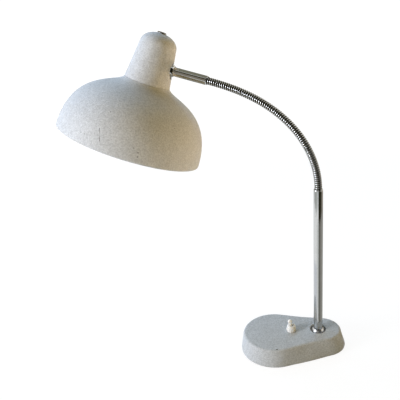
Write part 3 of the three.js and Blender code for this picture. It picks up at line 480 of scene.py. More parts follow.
felt = skin_levels([
    (0, felt_inset + 0.3, 0),
    (0.2, felt_inset + 0.05, 0),
    (0.5, felt_inset, 0),
    (felt_thickness, felt_inset, 0),
])
for spot in screw_places:
    combine(felt, rod(felt_hole_radius, -1, felt_thickness + 1, spot.x, spot.y), "DIFFERENCE")
add_piece("felt_sole", felt, "foot", pressed_felt, ["base_felt"])


# Cord bush
# Black rubber, pushed into the spot-faced hole in the back flank, with a rounded flange outside.
# It is matt, with a faint grey bloom.
bush_bore = 3.4
bush_neck = 4.8
bush_flange = 6.8
bush_end = 2.3
black_rubber, tree, shader, place = start_material("black_rubber", Roughness=0.78)
two_tones(tree, shader, place, 2.5, 5.0, "#161616", "#2C2B29")
bush = turned([
    (bush_bore, -8.8, 0.4), (bush_neck, -8.8, 0.4), (bush_neck, 0.3), (bush_flange, 0.3, 0.3),
    (bush_flange, 1.4, 0.8), (5.0, bush_end, 0.5), (bush_bore, bush_end, 0.7),
], 64)
bush.transform(out_of_flank)
add_piece("cord_bush_rubber", bush, "foot", black_rubber, ["cord_bush"])


# Switch
# A toggle switch under the foot's top. Its nickel-plated bushing comes through, and a fluted
# collar of cream urea plastic is screwed down on it. The lever is of the same plastic, which lets
# some light through.
bushing_bore = 2.9
bushing_radius = 4.2
bushing_bottom = 17.4
bushing_top = foot_height + 5.5
collar_height = 9.0
collar_radius = 5.9
collar_bore = 4.4
collar_mouth = 3.6
flange_radius = 6.5
flange_height = 4.2
flutes = 12
flute_radius = 0.75
lever_reach = 14.0
tip_radius = 2.85
stalk_radius = 2.05
pivot_radius = 2.4
lever_lean = math.radians(8)

cream_urea, tree, shader, place = start_material(
    "cream_urea_plastic", Roughness=0.34, IOR=1.52, Subsurface_Weight=0.6,
    Subsurface_Radius=(1.0, 0.95, 0.9), Subsurface_Scale=5 * mm)
two_tones(tree, shader, place, 3.5, 4.0, "#EDEBE4", "#FBFAF6")
nickel = plated_steel("nickel_plated_brass", "#B3AFA4", 0.28)
bushing = turned([
    (bushing_bore, bushing_bottom), (bushing_radius, bushing_bottom, 0.2),
    (bushing_radius, bushing_top, 0.4), (bushing_bore, bushing_top, 0.3),
], 48)
bushing.transform(Matrix.Translation((switch_x, 0, 0)))
add_piece("switch_bushing_turned", bushing, "foot", nickel, ["switch_bushing"])

collar = turned([
    (collar_bore, 0), (flange_radius, 0, 0.3), (flange_radius, flange_height, 0.3),
    (6.2, flange_height + 0.4, 0.2), (collar_radius, collar_height - 2.5, 0.3),
    (collar_radius, collar_height - 1.6, 0.8), (4.3, collar_height, 0.4),
    (collar_mouth, collar_height, 0.25), (collar_mouth, collar_height - 2.5),
    (collar_bore, collar_height - 2.5),
], 96)
combine_ring(
    collar, flutes, flange_radius + 0.25, flute_radius, -1, flange_height + 0.3, "DIFFERENCE")
collar.transform(Matrix.Translation((switch_x, 0, foot_height)))
add_piece("switch_collar_moulded", collar, "foot", cream_urea, ["switch_collar"])


def ball_arc(radius, start, end, steps, height=0):
    """Points of a round stretch, from one angle below or above the middle to another."""
    angles = [math.radians(start + (end - start) * i / steps) for i in range(steps + 1)]
    return [(max(radius * math.cos(a), 0), height + radius * math.sin(a)) for a in angles]


lever = turned(
    ball_arc(pivot_radius, -90, 30, 14)
    + [(1.9, pivot_radius), (stalk_radius - 0.05, 7.5), (stalk_radius, 10.5)]
    + ball_arc(tip_radius, -43, 90, 20, lever_reach),
    64)
lever_place = Matrix.Translation(Vector(joints["switch_toggle"]["pos_m"]))
lever_place = lever_place @ Matrix.Rotation(-lever_lean, 4, "Y")
add_piece(
    "switch_lever_moulded", lever, "switch_lever", cream_urea,
    ["switch_lever"], lever_place)


# Switch case and its screws
# Brown-black phenolic moulding hidden in the foot, with brass terminal screws. The cups of the
# ball joints are brass too, and their liners are red-brown vulcanised fibre.
dark_phenolic, tree, shader, place = start_material("dark_phenolic", Roughness=0.3, IOR=1.56)
two_tones(tree, shader, place, 4, 6.0, "#1E1714", "#3A2A22")
raw_brass = plated_steel("raw_brass", "#B4924E", 0.3)
fibre_board, tree, shader, place = start_material("vulcanised_fibre", Roughness=0.7)
two_tones(tree, shader, place, 1.2, 4.0, "#5E3420", "#8A5638")
dress(dark_phenolic, "switch_case")
dress(
    raw_brass, "switch_terminal_1", "switch_terminal_2", "base_friction_cup",
    "head_friction_cup", "holder_contact")
dress(fibre_board, "base_liner", "head_liner")


# Ball joint in the foot
# The ball is turned steel, chromed. It sits under a steel ring with a round seat, which shows as a
# thin dark gap round it.
ball_radius = 9.25
tube_radius = 6.0
tube_bore = 4.8
ball_mouth = tube_radius + 0.2
ball_floor = 3.5
wire_bore = 3.4
seat_radius = ball_radius + 0.3
ring_radius = 11.9
ring_bottom = 0.5
ring_top = 2.7

# Chrome plate on polished steel mirrors the room a little darker, under a thin haze and a few
# brown pits.
chrome, tree, shader, place = start_material("chromed_steel", Metallic=1.0)
haze = add_node(tree, "TexNoise", {"Vector": place, "Scale": 1 / (9 * mm), "Detail": 6.0})
pits = add_node(tree, "TexNoise", {"Vector": place, "Scale": 1 / (0.9 * mm), "Detail": 2.0})
haze_roughness = add_node(
    tree, "MapRange",
    {"Value": haze.outputs["Fac"], "From Min": 0.3, "From Max": 0.7,
     "To Min": 0.05, "To Max": 0.13})
haze_tone = add_node(
    tree, "Mix", {0: haze.outputs["Fac"], 6: linear("#C7C8C6"), 7: linear("#D5D7D7")},
    data_type="RGBA")
pit_mask = add_node(
    tree, "MapRange", {"Value": pits.outputs["Fac"], "From Min": 0.68, "From Max": 0.75})
pitted = add_node(
    tree, "Mix",
    {0: pit_mask.outputs["Result"], 6: haze_tone.outputs[2], 7: linear("#7A6F5C")},
    data_type="RGBA")
tree.links.new(pitted.outputs[2], shader.inputs["Base Color"])
tree.links.new(haze_roughness.outputs["Result"], shader.inputs["Roughness"])

# The foot's ball is worn satin by turning under its ring, so its lights run broad and soft.
satin_chrome, tree, shader, place = start_material(
    "satin_chromed_steel", Metallic=1.0, Base_Color=linear("#CFD0CF"))
scuffs = add_node(tree, "TexNoise", {"Vector": place, "Scale": 1 / (3 * mm), "Detail": 5.0})
scuff_roughness = add_node(
    tree, "MapRange",
    {"Value": scuffs.outputs["Fac"], "From Min": 0.3, "From Max": 0.7,
     "To Min": 0.26, "To Max": 0.36})
tree.links.new(scuff_roughness.outputs["Result"], shader.inputs["Roughness"])


def ball():
    """A ball bored for the wires, with a counterbore that takes the tube's end."""
    top = math.degrees(math.acos(ball_mouth / ball_radius))
    bottom = math.degrees(math.acos(wire_bore / ball_radius))
    return turned(
        ball_arc(ball_radius, -bottom, top, 36)
        + [(ball_mouth, ball_floor), (wire_bore, ball_floor)])


seat_ring = turned(
    [(ring_radius, ring_bottom, 0.1), (ring_radius, ring_top, 0.1)]
    + ball_arc(seat_radius, 16.4, 3.0, 6))
ball_joint_place = Matrix.Translation(ball_centre * mm)
add_piece(
    "socket_ring_turned", seat_ring, "foot", zinc_plate, ["socket_ring"],
    ball_joint_place)
add_piece(
    "stem_ball_satin", ball(), "stem", satin_chrome, ["stem_ball"],
    ball_joint_place)


# Stem
# A 12 mm steel tube, chromed and polished, that mirrors the room in long bands. A turned ferrule
# closes its top, and the hose is crimped in there.
stem_length = joints["neck_bend_lower"]["pos_m"][2] / mm - ball_centre.z
ferrule_height = 1.8
ferrule_radius = 5.8
ferrule_bore = 2.6
spigot_radius = 4.6
spigot_length = 8.0
hose_radius = 4.95
stem_top = stem_length - ferrule_height

stem = turned([
    (tube_bore, ball_floor + 0.3), (tube_radius, ball_floor + 0.3),
    (tube_radius, stem_top, 0.5), (tube_bore, stem_top),
])
add_piece(
    "stem_tube_drawn", stem, "stem", chrome, ["stem_tube"], ball_joint_place)
ferrule = turned([
    (ferrule_bore, stem_top - spigot_length), (spigot_radius, stem_top - spigot_length),
    (spigot_radius, stem_top), (ferrule_radius, stem_top, 0.1),
    (ferrule_radius, stem_length - 0.8, 0.4), (hose_radius + 0.1, stem_length - 0.7, 0.1),
    (hose_radius + 0.1, stem_length - 2.0), (ferrule_bore, stem_length - 2.0),
])
add_piece(
    "stem_ferrule_turned", ferrule, "stem", chrome, ["stem_ferrule"],
    ball_joint_place)


# Gooseneck
# A hose wound from round chromed wire over a flat inner strip, which holds any bend it is given.
# It is one hose on the lamp. Here it is cut midway between the pivots, and each piece follows the
# neck's curve over the pivot in its middle.
neck_length = 207.8
neck_bend = math.radians(77.2)
neck_bend_share = 0.616
neck_skew_share = -0.126
neck_lengths = 11
neck_ribs = 77
groove_radius = 3.8
hose_sides = 40
crest_points = 9
wire_width = 0.74
bright_width = 0.62
hose_wall = 1.2
neck_step = 0.05
tucked_in = 1.0

# Dark steel strip at the bottom of the grooves, and painted shade on the wire's flanks beside it,
# where the grooves lie in shadow: dull, so that each turn of the wire stands out bright against it.
strip_and_groove_shade, tree, shader, place = start_material(
    "steel_strip_and_painted_groove_shade", Metallic=1.0, Roughness=0.45)
two_tones(tree, shader, place, 4, 4.0, "#26241D", "#5A564A")

neck_foot = Vector(joints["neck_bend_lower"]["pos_m"]) / mm
bend_axis = Vector(joints["neck_bend_lower"]["axis"])
upward = Vector((0, 0, 1))
leaning = bend_axis.cross(upward)
rib_pitch = neck_length / neck_ribs
# Faces nearer the hose's axis than this are painted dark as shade in the grooves; bright_width is
# the share of each wire's crest left as chrome.
groove_shade_reach = (
    groove_radius + (hose_radius - groove_radius) * math.sqrt(1 - bright_width ** 2))
pivot_spacing = neck_length / neck_lengths


def neck_angle(distance):
    """Direction of the hose at a distance along it, from straight up."""
    share = min(max(distance / neck_length, 0), 1)
    bulge = neck_bend_share + neck_skew_share * (1 - 2 * share)
    return neck_bend * (share + bulge * share * (1 - share))


def neck_line():
    """Points along the middle of the hose, a step apart."""
    points = []
    place = neck_foot.copy()
    for index in range(int(neck_length / neck_step) + 1):
        points.append(place.copy())
        angle = neck_angle((index + 0.5) * neck_step)
        place += (leaning * math.sin(angle) + upward * math.cos(angle)) * neck_step
    return points


neck_points = neck_line()


def neck_frame(distance):
    """Where a point on the hose's axis comes to lie, and the directions across and along it."""
    angle = neck_angle(distance)
    along = leaning * math.sin(angle) + upward * math.cos(angle)
    out = leaning * math.cos(angle) - upward * math.sin(angle)
    index = min(max(int(distance / neck_step), 0), len(neck_points) - 1)
    place = neck_points[index] + along * (distance - index * neck_step)
    return place, out, along


def hose_piece(start, end):
    """A straight length of wound hose, cut square at both ends, then bent to the neck's line."""
    first_rib = math.floor(start / rib_pitch) - 2
    ribs = math.ceil((end - start) / rib_pitch) + 4
    bm = bmesh.new()
    crest = []
    for index in range(crest_points + 1):
        across = 2 * index / crest_points - 1
        rise = math.sqrt(max(1 - across * across, 0))
        reach = groove_radius + (hose_radius - groove_radius) * rise
        crest.append((reach, rib_pitch * wire_width * (across + 1) / 2))
    crest.append((groove_radius, rib_pitch))
    points = [bm.verts.new((reach, 0, first_rib * rib_pitch + up)) for reach, up in crest]
    for pair in zip(points, points[1:]):
        bm.edges.new(pair)
    steps = ribs * hose_sides
    bmesh.ops.spin(
        bm, geom=bm.verts[:] + bm.edges[:], cent=(0, 0, 0), axis=(0, 0, 1),
        dvec=(0, 0, rib_pitch / hose_sides), angle=2 * math.pi * ribs, steps=steps)
    bmesh.ops.remove_doubles(bm, verts=bm.verts, dist=0.01)
    for height, normal in ((start, -1), (end, 1)):
        bmesh.ops.bisect_plane(
            bm, geom=bm.verts[:] + bm.edges[:] + bm.faces[:], plane_co=(0, 0, height),
            plane_no=(0, 0, normal), clear_outer=True)
    bmesh.ops.recalc_face_normals(bm, faces=bm.faces)
    # Faces low in the grooves take the second material: the dark strip and painted groove shade.
    for face in bm.faces:
        middle = face.calc_center_median()
        face.material_index = middle.xy.length < groove_shade_reach
    for vert in bm.verts:
        place, out, along = neck_frame(vert.co.z)
        vert.co = place + out * vert.co.x + bend_axis * vert.co.y
    return bm


for pivot in range(neck_lengths + 1):
    middle = pivot * pivot_spacing
    start = max(middle - pivot_spacing / 2, -tucked_in)
    end = min(middle + pivot_spacing / 2, neck_length + tucked_in)
    lengths = [i for i in (pivot, pivot + 1) if 1 <= i <= neck_lengths]
    hose = hose_piece(start, end)
    hose.transform(Matrix.Scale(mm, 4))
    mesh = bpy.data.meshes.new(f"neck_hose_{pivot + 1:02d}")
    hose.to_mesh(mesh)
    hose.free()
    mesh.shade_smooth()
    mesh.materials.append(chrome)
    mesh.materials.append(strip_and_groove_shade)
    piece = bpy.data.objects.new(mesh.name, mesh)
    bpy.context.scene.collection.objects.link(piece)
    thickness = piece.modifiers.new("wall", "SOLIDIFY")
    thickness.thickness = hose_wall * mm
    thickness.offset = -1
    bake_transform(piece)
    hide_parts(*(f"neck_segment_{i:02d}" for i in lengths))


# Tube and ball at the head
# A short length of the same chromed tube, chamfered where the hose is crimped in, with a ball like
# the one in the foot on its other end.
head_centre = Vector(joints["head_roll"]["pos_m"]) / mm
neck_end = Vector(joints["neck_side_6"]["pos_m"]) / mm
head_tube_length = (neck_end - head_centre).length
tube_direction = (neck_end - head_centre).normalized()
crimp_depth = 3.0
tube_place = Matrix.Translation(head_centre * mm)
tube_place @= tube_direction.to_track_quat("Z", "Y").to_matrix().to_4x4()

head_tube = turned([
    (tube_bore, ball_floor + 0.3), (tube_radius, ball_floor + 0.3),
    (tube_radius, head_tube_length - 1.9, 0.3), (hose_radius + 0.35, head_tube_length - 0.8, 0.2),
    (hose_radius + 0.1, head_tube_length - 0.9),
    (hose_radius + 0.1, head_tube_length - crimp_depth),
    (tube_bore, head_tube_length - crimp_depth),
])
add_piece(
    "head_tube_drawn", head_tube, "head_arm", chrome, ["head_tube"], tube_place)
add_piece(
    "head_ball_polished", ball(), "head_arm", chrome, ["head_ball"], tube_place)


# Neck housing of the shade
# Spun aluminium, a cone with a domed crown, lacquered like the foot. The ball comes out of a round
# hole in its side. Heights here run down the shade's axis from the crown.
ball_down = 40.4
housing_length = 64.0
housing_top_radius = 22.0
housing_mouth_radius = 30.3
crown_height = 15.1
crown_power = 2.245
shade_wall = 1.0
ball_inset = 3.8
crown_steps = 28
thread_hole = 5.2

head_side = Vector(joints["head_roll"]["axis"]).normalized()
head_up = Vector(joints["head_swing"]["axis"]).normalized()
head_place = Matrix.Identity(4)
head_place.col[0].xyz = head_side
head_place.col[1].xyz = head_up.cross(head_side)
head_place.col[2].xyz = head_up
head_place.translation = head_centre * mm


def housing_radius(down):
    """The cone's radius at a distance down from the crown."""
    return housing_top_radius + (housing_mouth_radius - housing_top_radius) * down / housing_length


shade_axis = -(housing_radius(ball_down) - ball_inset)
shade_place = head_place @ Matrix.Translation((shade_axis * mm, 0, ball_down * mm))


def shade_turned(outline, steps=128):
    """Spins an outline whose heights run down the shade's axis."""
    return turned([(point[0], -point[1], *point[2:]) for point in outline], steps)


def crown(inset, start_radius):
    """The crown's curve, drawn in by inset, from the middle out to the cone."""
    points = [(start_radius, inset)]
    height = crown_height - inset
    for step in range(crown_steps + 1):
        down = inset + height * (1 - math.cos(step / crown_steps * math.pi / 2))
        rise = (crown_height - down) / height
        reach = (housing_radius(down) - inset) * (1 - rise**crown_power) ** (1 / crown_power)
        if reach > start_radius + 1:
            points.append((reach, down))
    return points


shade_chips = spots(
    (-218.9, -20.4, 315.9, 1.2), (-214.4, -20.7, 309.5, 1.6), (-215.5, -21.7, 304.9, 1.6),
    (-273.1, -8.5, 332.4, 1.2), (-280.8, -3.2, 334.4, 1.2), (-276.3, -6.5, 333.2, 1.0),
    (-294.9, 5.7, 332.0, 1.4), (-243.1, 0.2, 355.4, 1.3), (-171.0, 11.6, 325.8, 1.3))
shade_scratches = [((-256.9, -9.8, 340.1), (-258.0, -16.3, 326.3), 0.8)]
shade_lacquer = wrinkle_lacquer(
    "wrinkle_lacquer_shade", "#D1D3D3", "#B0B2B2", shade_chips + shade_scratches, [])

mouth = housing_length - 0.3
outside = crown(0, thread_hole) + [(housing_radius(mouth), mouth, 0.3)]
inside = crown(shade_wall, thread_hole) + [(housing_radius(mouth) - shade_wall, mouth, 0.3)]
housing = shade_turned(outside + inside[::-1])
housing.transform(Matrix.Translation((shade_axis, 0, ball_down)))
side_hole = rod(hole_radius, -2, 20)
side_hole.transform(Matrix.Rotation(math.pi / 2, 4, "Y"))
combine(housing, side_hole, "DIFFERENCE")
add_piece(
    "neck_housing_spun", housing, "head", shade_lacquer, ["neck_housing"],
    head_place)


# Bell of the shade
# Spun aluminium, lacquered grey outside and white inside, with a rolled rim. Its collar stands up
# inside the neck housing, where the clamp plate pulls it tight.
bell_depth = 83.7
bell_radius = 96.9
shoulder = (39.1, 12.9)
hip = (94.7, 11.4)
bell_steps = 56
rim_bead = 1.2
bead_steps = 10
collar_top = housing_length - 7.0
collar_flange = 7.5

white_enamel, tree, shader, place = start_material("white_stoved_enamel", Roughness=0.42)
two_tones(tree, shader, place, 20, 4.0, "#DEDCD3", "#EFEEE8")
orange_peel = add_node(tree, "TexNoise", {"Vector": place, "Scale": 1 / (2 * mm), "Detail": 1.0})
bump = add_node(
    tree, "Bump", {"Height": orange_peel.outputs["Fac"], "Strength": 0.15, "Distance": 0.2 * mm})
tree.links.new(bump.outputs["Normal"], shader.inputs["Normal"])


def bell_curve(share):
    """A point of the bell's outside and its outward direction, at a share of the way to the rim."""
    corners = [(housing_mouth_radius, 0), shoulder, hip, (bell_radius, bell_depth)]
    weights = [(1 - share) ** 3, 3 * (1 - share) ** 2 * share, 3 * (1 - share) * share**2, share**3]
    slopes = [(1 - share) ** 2, 2 * (1 - share) * share, share**2]
    point = sum((Vector(c) * w for c, w in zip(corners, weights)), Vector((0, 0)))
    steps = [Vector(b) - Vector(a) for a, b in zip(corners, corners[1:])]
    heading = sum((s * w for s, w in zip(steps, slopes)), Vector((0, 0))).normalized()
    return point + Vector((0, housing_length)), Vector((heading.y, -heading.x))


outside, inside = [], []
for step in range(bell_steps + 1):
    point, outward = bell_curve(step / bell_steps)
    outside.append(tuple(point))
    inside.append(tuple(point - outward * shade_wall))
rim_down = housing_length + bell_depth
bead = [
    (bell_radius - rim_bead + rim_bead * math.cos(a), rim_down + rim_bead * math.sin(a))
    for a in (math.pi * i / bead_steps for i in range(bead_steps + 1))
]


def collar_reach(down):
    """The collar's radius, just inside the neck housing."""
    return housing_radius(down) - shade_wall - 0.3


bell = shade_turned(
    outside[:-1] + bead + inside[1:-1][::-1]
    + [
        (collar_reach(housing_length) - shade_wall, housing_length + 2 * shade_wall, 0.5),
        (collar_reach(collar_top) - shade_wall, collar_top + shade_wall, 0.5),
        (collar_reach(collar_top) - collar_flange, collar_top + shade_wall, 0.2),
        (collar_reach(collar_top) - collar_flange, collar_top, 0.2),
        (collar_reach(collar_top), collar_top, 0.5),
        (collar_reach(housing_length), housing_length, 0.4),
    ], 144)
for face in bell.faces:
    middle = face.calc_center_median()
    outward = Vector((middle.x, middle.y, 0)).dot(face.normal)
    faces_in = outward < 0 and middle.z < -collar_top
    faces_down = face.normal.z < -0.9 and middle.z > -rim_down + 3
    face.material_index = faces_in or faces_down
bell_piece = add_piece(
    "bell_shade_spun", bell, "head", shade_lacquer, ["bell_shade"], shade_place)
bell_piece.data.materials.append(white_enamel)


# Crown nut, tube and clamp plate
# A round slotted nut on the crown holds a threaded steel tube, and a plate on the tube pulls the
# bell up. The plate has four windows for air and wires. The nut's chrome is made darker and
# browner than the rest.
nut_radius = 6.0
nut_height = 2.0
slot_width = 1.3
slot_depth = 0.6
plate_radius = 26.0
plate_windows = 4
window_radius = 5.5
window_reach = 15.0

darker_chrome = plated_steel("darker_chrome", "#8F8C84", 0.22)
nut = shade_turned([
    (0, -0.8), (thread_hole, -0.8), (thread_hole, -0.3), (nut_radius, -0.3, 0.1),
    (nut_radius, -1.1, 0.3), (nut_radius - 0.9, -1.75, 0.5), (3.0, -nut_height), (0, -nut_height),
], 64)
slot_tool = bmesh.new()
bmesh.ops.create_cube(slot_tool, size=1)
bmesh.ops.scale(slot_tool, vec=(30, slot_width, 2 * slot_depth), verts=slot_tool.verts)
bmesh.ops.translate(slot_tool, vec=(0, 0, nut_height), verts=slot_tool.verts)
combine(nut, slot_tool, "DIFFERENCE")
add_piece("crown_nut_turned", nut, "head", darker_chrome, ["top_nut"], shade_place)

plate_top = collar_top + shade_wall + 0.3
plate_bottom = plate_top + 1.5
plate = shade_turned([
    (thread_hole, plate_bottom, 0.2), (plate_radius, plate_bottom, 0.5),
    (plate_radius, plate_top, 0.5), (thread_hole, plate_top, 0.2),
], 96)
combine_ring(
    plate, plate_windows, window_reach, window_radius, -plate_bottom - 2, -plate_top + 2,
    "DIFFERENCE", turn=0.5)
add_piece(
    "clamp_plate_pressed", plate, "head", zinc_plate, ["clamp_disc"], shade_place)


# Lamp holder
# Two phenolic mouldings on the threaded tube: a cap, and a body with a ribbed grip that takes the
# lamp's screw cap.
holder_top = plate_bottom + 0.3 + 2.6 + 0.3
holder_split = holder_top + 10.5
holder_mouth = holder_split + 0.3 + 22.0
holder_radius = 17.5
body_top = holder_split + 0.3
body_bore = 13.5
grip_ribs = 24
rib_radius = 0.7
tube_end = 67.5

cap = shade_turned([
    (3.6, holder_split), (holder_radius, holder_split, 0.4),
    (holder_radius, holder_split - 3.6, 1.2), (13.25, holder_top + 1.8, 2.0),
    (9.0, holder_top, 0.8), (thread_hole, holder_top), (thread_hole, tube_end + 0.3),
    (3.6, tube_end + 0.3),
], 96)
add_piece(
    "holder_cap_moulded", cap, "head", dark_phenolic, ["holder_cap"],
    shade_place)
body = shade_turned([
    (body_bore, holder_mouth, 0.4), (holder_radius, holder_mouth, 0.6),
    (holder_radius, holder_mouth - 3, 0.4), (holder_radius - 1, holder_mouth - 3.6),
    (holder_radius - 1, body_top + 3.6), (holder_radius, body_top + 3, 0.4),
    (holder_radius, body_top, 0.4), (body_bore, body_top, 0.3),
], 96)
combine_ring(
    body, grip_ribs, holder_radius - 0.6, rib_radius, -holder_mouth + 2.4, -body_top - 2.4,
    "UNION")
add_piece(
    "holder_body_moulded", body, "head", dark_phenolic, ["holder_body"],
    shade_place)


# Lamp
# A small round opal lamp: a brass screw cap with a rolled thread, and a blown glass ball that
# is frosted white inside.
contact_bottom = body_top + 0.8
pip_top = contact_bottom + 0.3
cap_top = pip_top + 2.0
cap_length = 22.0
cap_radius = 13.1
cap_bottom = cap_top + cap_length
thread_turns = 3
thread_depth = 0.6
thread_steps = 24
glass_radius = 22.5
glass_neck = 12.4
glass_wall = 0.9

thread = []
for step in range(thread_steps + 1):
    wave = (1 - math.cos(2 * math.pi * thread_turns * step / thread_steps)) / 2
    reach = cap_radius - thread_depth * (1 - wave)
    thread.append((reach, cap_top + cap_length * (0.15 + 0.7 * step / thread_steps)))
cap_inner = cap_radius - thread_depth - 1
screw_cap = shade_turned(
    [(0, pip_top), (4, pip_top, 0.4), (cap_inner, cap_top, 0.8)]
    + thread
    + [
        (cap_radius - thread_depth, cap_bottom), (cap_inner, cap_bottom),
        (cap_inner, cap_top + 1), (0, cap_top + 1),
    ], 72)
add_piece("lamp_cap_pressed", screw_cap, "head", raw_brass, ["bulb_cap"], shade_place)

glass_top = cap_bottom + 0.3
glass_centre = glass_top + 5.5 + math.sqrt(glass_radius**2 - glass_neck**2)


def glass_skin(radius, neck):
    """The round of the glass, from its neck to its foot."""
    start = math.degrees(math.acos(neck / radius))
    return [(r, glass_centre - z) for r, z in ball_arc(radius, start, -90, 32)]


opal_glass, tree, shader, place = start_material(
    "opal_glass", Roughness=0.16, IOR=1.5, Subsurface_Weight=0.25, Subsurface_Scale=2 * mm)
two_tones(tree, shader, place, 15, 2.0, "#ECEAE3", "#F6F5F1")
glass = shade_turned(
    glass_skin(glass_radius, glass_neck)
    + glass_skin(glass_radius - glass_wall, glass_neck - glass_wall)[::-1]
    + [(glass_neck - glass_wall, glass_top), (glass_neck, glass_top, 0.2)], 96)
add_piece("lamp_glass_blown", glass, "head", opal_glass, ["bulb_glass"], shade_place)


# Floor, world and lamps
# A pale floor keeps a soft shadow and turns plain white further off. Daylight comes from the left,
# a cool, weaker light from behind, and a warm light up from the table on the right. Dark and grey
# boards out of sight stand for the room that the chrome mirrors.
floor_mesh = bmesh.new()
bmesh.ops.create_grid(floor_mesh, x_segments=1, y_segments=1, size=12)
mesh = bpy.data.meshes.new("floor")
floor_mesh.to_mesh(mesh)
floor_mesh.free()
floor = bpy.data.objects.new("floor", mesh)
bpy.context.scene.collection.objects.link(floor)


def seen_directly(tree):
    """The light paths that see the white surroundings: the camera's, and in gloss or glass."""
    path = add_node(tree, "LightPath", {})
    either = add_node(
        tree, "Math",
        {0: path.outputs["Is Camera Ray"], 1: path.outputs["Is Glossy Ray"]}, operation="MAXIMUM")
    return add_node(
        tree, "Math", {0: either.outputs[0], 1: path.outputs["Is Transmission Ray"]},
        operation="MAXIMUM")


pale_floor = bpy.data.materials.new("pale_floor")
pale_floor.use_nodes = True
tree = pale_floor.node_tree
tree.nodes.clear()
matt = add_node(tree, "BsdfDiffuse", {"Color": linear("#E6E6E4")})
plain_white = add_node(tree, "Emission", {"Color": linear("#FFFFFF"), "Strength": 1.08})
place = add_node(tree, "TexCoord", {}).outputs["Object"]
distance = add_node(tree, "VectorMath", {"Vector": place}, operation="LENGTH")
whiteness = add_node(
    tree, "MapRange",
    {"Value": distance.outputs["Value"], "From Min": 0.7, "From Max": 1.6,
     "To Min": 0.85, "To Max": 1.0})
glow = add_node(
    tree, "Math", {0: seen_directly(tree).outputs[0], 1: whiteness.outputs["Result"]},
    operation="MULTIPLY")
surface = add_node(
    tree, "MixShader",
    {0: glow.outputs[0], 1: matt.outputs["BSDF"], 2: plain_white.outputs["Emission"]})
add_node(tree, "OutputMaterial", {"Surface": surface.outputs[0]})
mesh.materials.append(pale_floor)

world = bpy.data.worlds.new("studio")
bpy.context.scene.world = world
world.use_nodes = True
tree = world.node_tree
tree.nodes.clear()
backdrop = add_node(tree, "Background", {"Color": linear("#FFFFFF"), "Strength": 1.0})
room_light = add_node(tree, "Background", {"Color": (1.0, 0.74, 0.25, 1.0), "Strength": 0.32})
light = add_node(
    tree, "MixShader",
    {0: seen_directly(tree).outputs[0], 1: room_light.outputs[0], 2: backdrop.outputs[0]})
add_node(tree, "OutputWorld", {"Surface": light.outputs[0]})

lamp_middle = Vector((-0.15, 0.05, 0.2))


def face_towards(thing, place, target):
    """Puts a light or a board in its place, turned towards a point."""
    thing.location = place
    thing.rotation_euler = (Vector(target) - Vector(place)).to_track_quat("-Z", "Y").to_euler()
    bpy.context.scene.collection.objects.link(thing)


table_right = (0.68, -0.05, 0.002)
above_table = (0.68, -0.05, 1.0)
for name, place, target, size, power, colour, in_metal in (
    ("window_left", (-2.0, -0.75, 0.8), lamp_middle, 0.8, 43.5, (0.85, 0.885, 1.0), True),
    ("cool_behind", (0.0, 1.5, 1.8), lamp_middle, 1.2, 17.5, (0.31, 0.61, 1.0), False),
    ("cool_left", (-1.5, 0.9, 2.0), lamp_middle, 1.2, 27.0, (0.34, 0.59, 1.0), False),
    ("warm_table", table_right, above_table, 0.8, 11.5, (1.0, 0.7, 0.39), False),
):
    softbox = bpy.data.objects.new(name, bpy.data.lights.new(name, "AREA"))
    softbox.data.size = size
    softbox.data.energy = power
    softbox.data.color = colour
    softbox.visible_camera = False
    softbox.visible_glossy = in_metal
    face_towards(softbox, place, target)


def add_board(name, bm, colour, place, target):
    """A plain board that only shows in reflections."""
    mesh = bpy.data.meshes.new(name)
    bm.to_mesh(mesh)
    bm.free()
    plain = bpy.data.materials.new(name)
    plain.use_nodes = True
    plain.node_tree.nodes.clear()
    glow = add_node(plain.node_tree, "Emission", {"Color": linear(colour), "Strength": 1.0})
    add_node(plain.node_tree, "OutputMaterial", {"Surface": glow.outputs[0]})
    mesh.materials.append(plain)
    board = bpy.data.objects.new(name, mesh)
    board.visible_camera = board.visible_diffuse = board.visible_shadow = False
    face_towards(board, place, target)


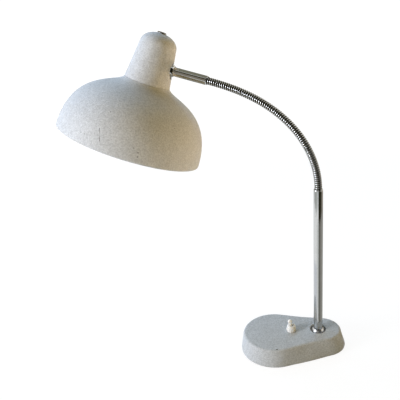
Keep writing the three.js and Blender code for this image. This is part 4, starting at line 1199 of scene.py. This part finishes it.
for name, place, width, height, colour in (
    ("board_ceiling", (-0.2, 0.9, 2.2), 5.0, 3.4, "#8A8878"),
    ("board_high_front", (-0.4, -1.5, 1.9), 4.4, 1.7, "#4A4838"),
    ("board_left_front", (-1.2, -1.3, 0.8), 1.5, 1.3, "#8C8478"),
):
    sheet = bmesh.new()
    bmesh.ops.create_grid(sheet, x_segments=1, y_segments=1, size=0.5)
    bmesh.ops.scale(sheet, vec=(width, height, 1), verts=sheet.verts)
    add_board(name, sheet, colour, place, lamp_middle)

# Cards on the table and screens round it: part of a ring about the stem, from one angle to another,
# counted to the right from the camera's side, between two edges given by their reach and height.
card_height = 0.0005
card_steps = 24
foot_gap = 0.045
table_edge = 0.6
room_edge = 2.0
screen_reach = 1.5
towards_camera = math.atan2(camera_place.y, camera_place.x)
for name, start, end, near, far, colour in (
    ("card_table_left", -110, -33, (foot_gap, 0), (0.28, 0), "#E9ECF4"),
    ("card_table_front", -33, 8, (foot_gap, 0), (table_edge, 0), "#E7E9E9"),
    ("card_table_right", 8, 41, (foot_gap, 0), (table_edge, 0), "#767670"),
    ("card_table_side", 41, 68, (foot_gap, 0), (table_edge, 0), "#8B8882"),
    ("card_table_back", 68, 165, (foot_gap, 0), (table_edge, 0), "#A6A49E"),
    ("card_floor_left", -100, -33, (0.68, 0), (room_edge, 0), "#BEC1BF"),
    ("card_floor_front", -33, 7, (0.76, 0), (room_edge, 0), "#D8DBDA"),
    ("card_floor_right", 7, 68, (table_edge, 0), (room_edge, 0), "#2C2B1E"),
    ("card_floor_side", 68, 100, (table_edge, 0), (room_edge, 0), "#7D776B"),
    ("card_floor_back", 100, 165, (table_edge, 0), (room_edge, 0), "#BAB3A8"),
    ("screen_right_front", 5, 74, (screen_reach, 0), (screen_reach, 2.0), "#1E1C12"),
    ("screen_right", 74, 168, (screen_reach, 0.02), (screen_reach, 1.5), "#FFF6E8"),
):
    sector = bmesh.new()
    first = towards_camera + math.radians(start)
    ends = [
        sector.verts.new((reach * math.cos(first), reach * math.sin(first), height))
        for reach, height in (near, far)
    ]
    edge = sector.edges.new(ends)
    bmesh.ops.spin(
        sector, geom=[*ends, edge], cent=(0, 0, 0), axis=(0, 0, 1),
        angle=math.radians(end - start), steps=card_steps)
    bmesh.ops.recalc_face_normals(sector, faces=sector.faces)
    add_board(name, sector, colour, (0, 0, card_height), (0, 0, -1))

view_settings = bpy.context.scene.view_settings
view_settings.view_transform = "Standard"
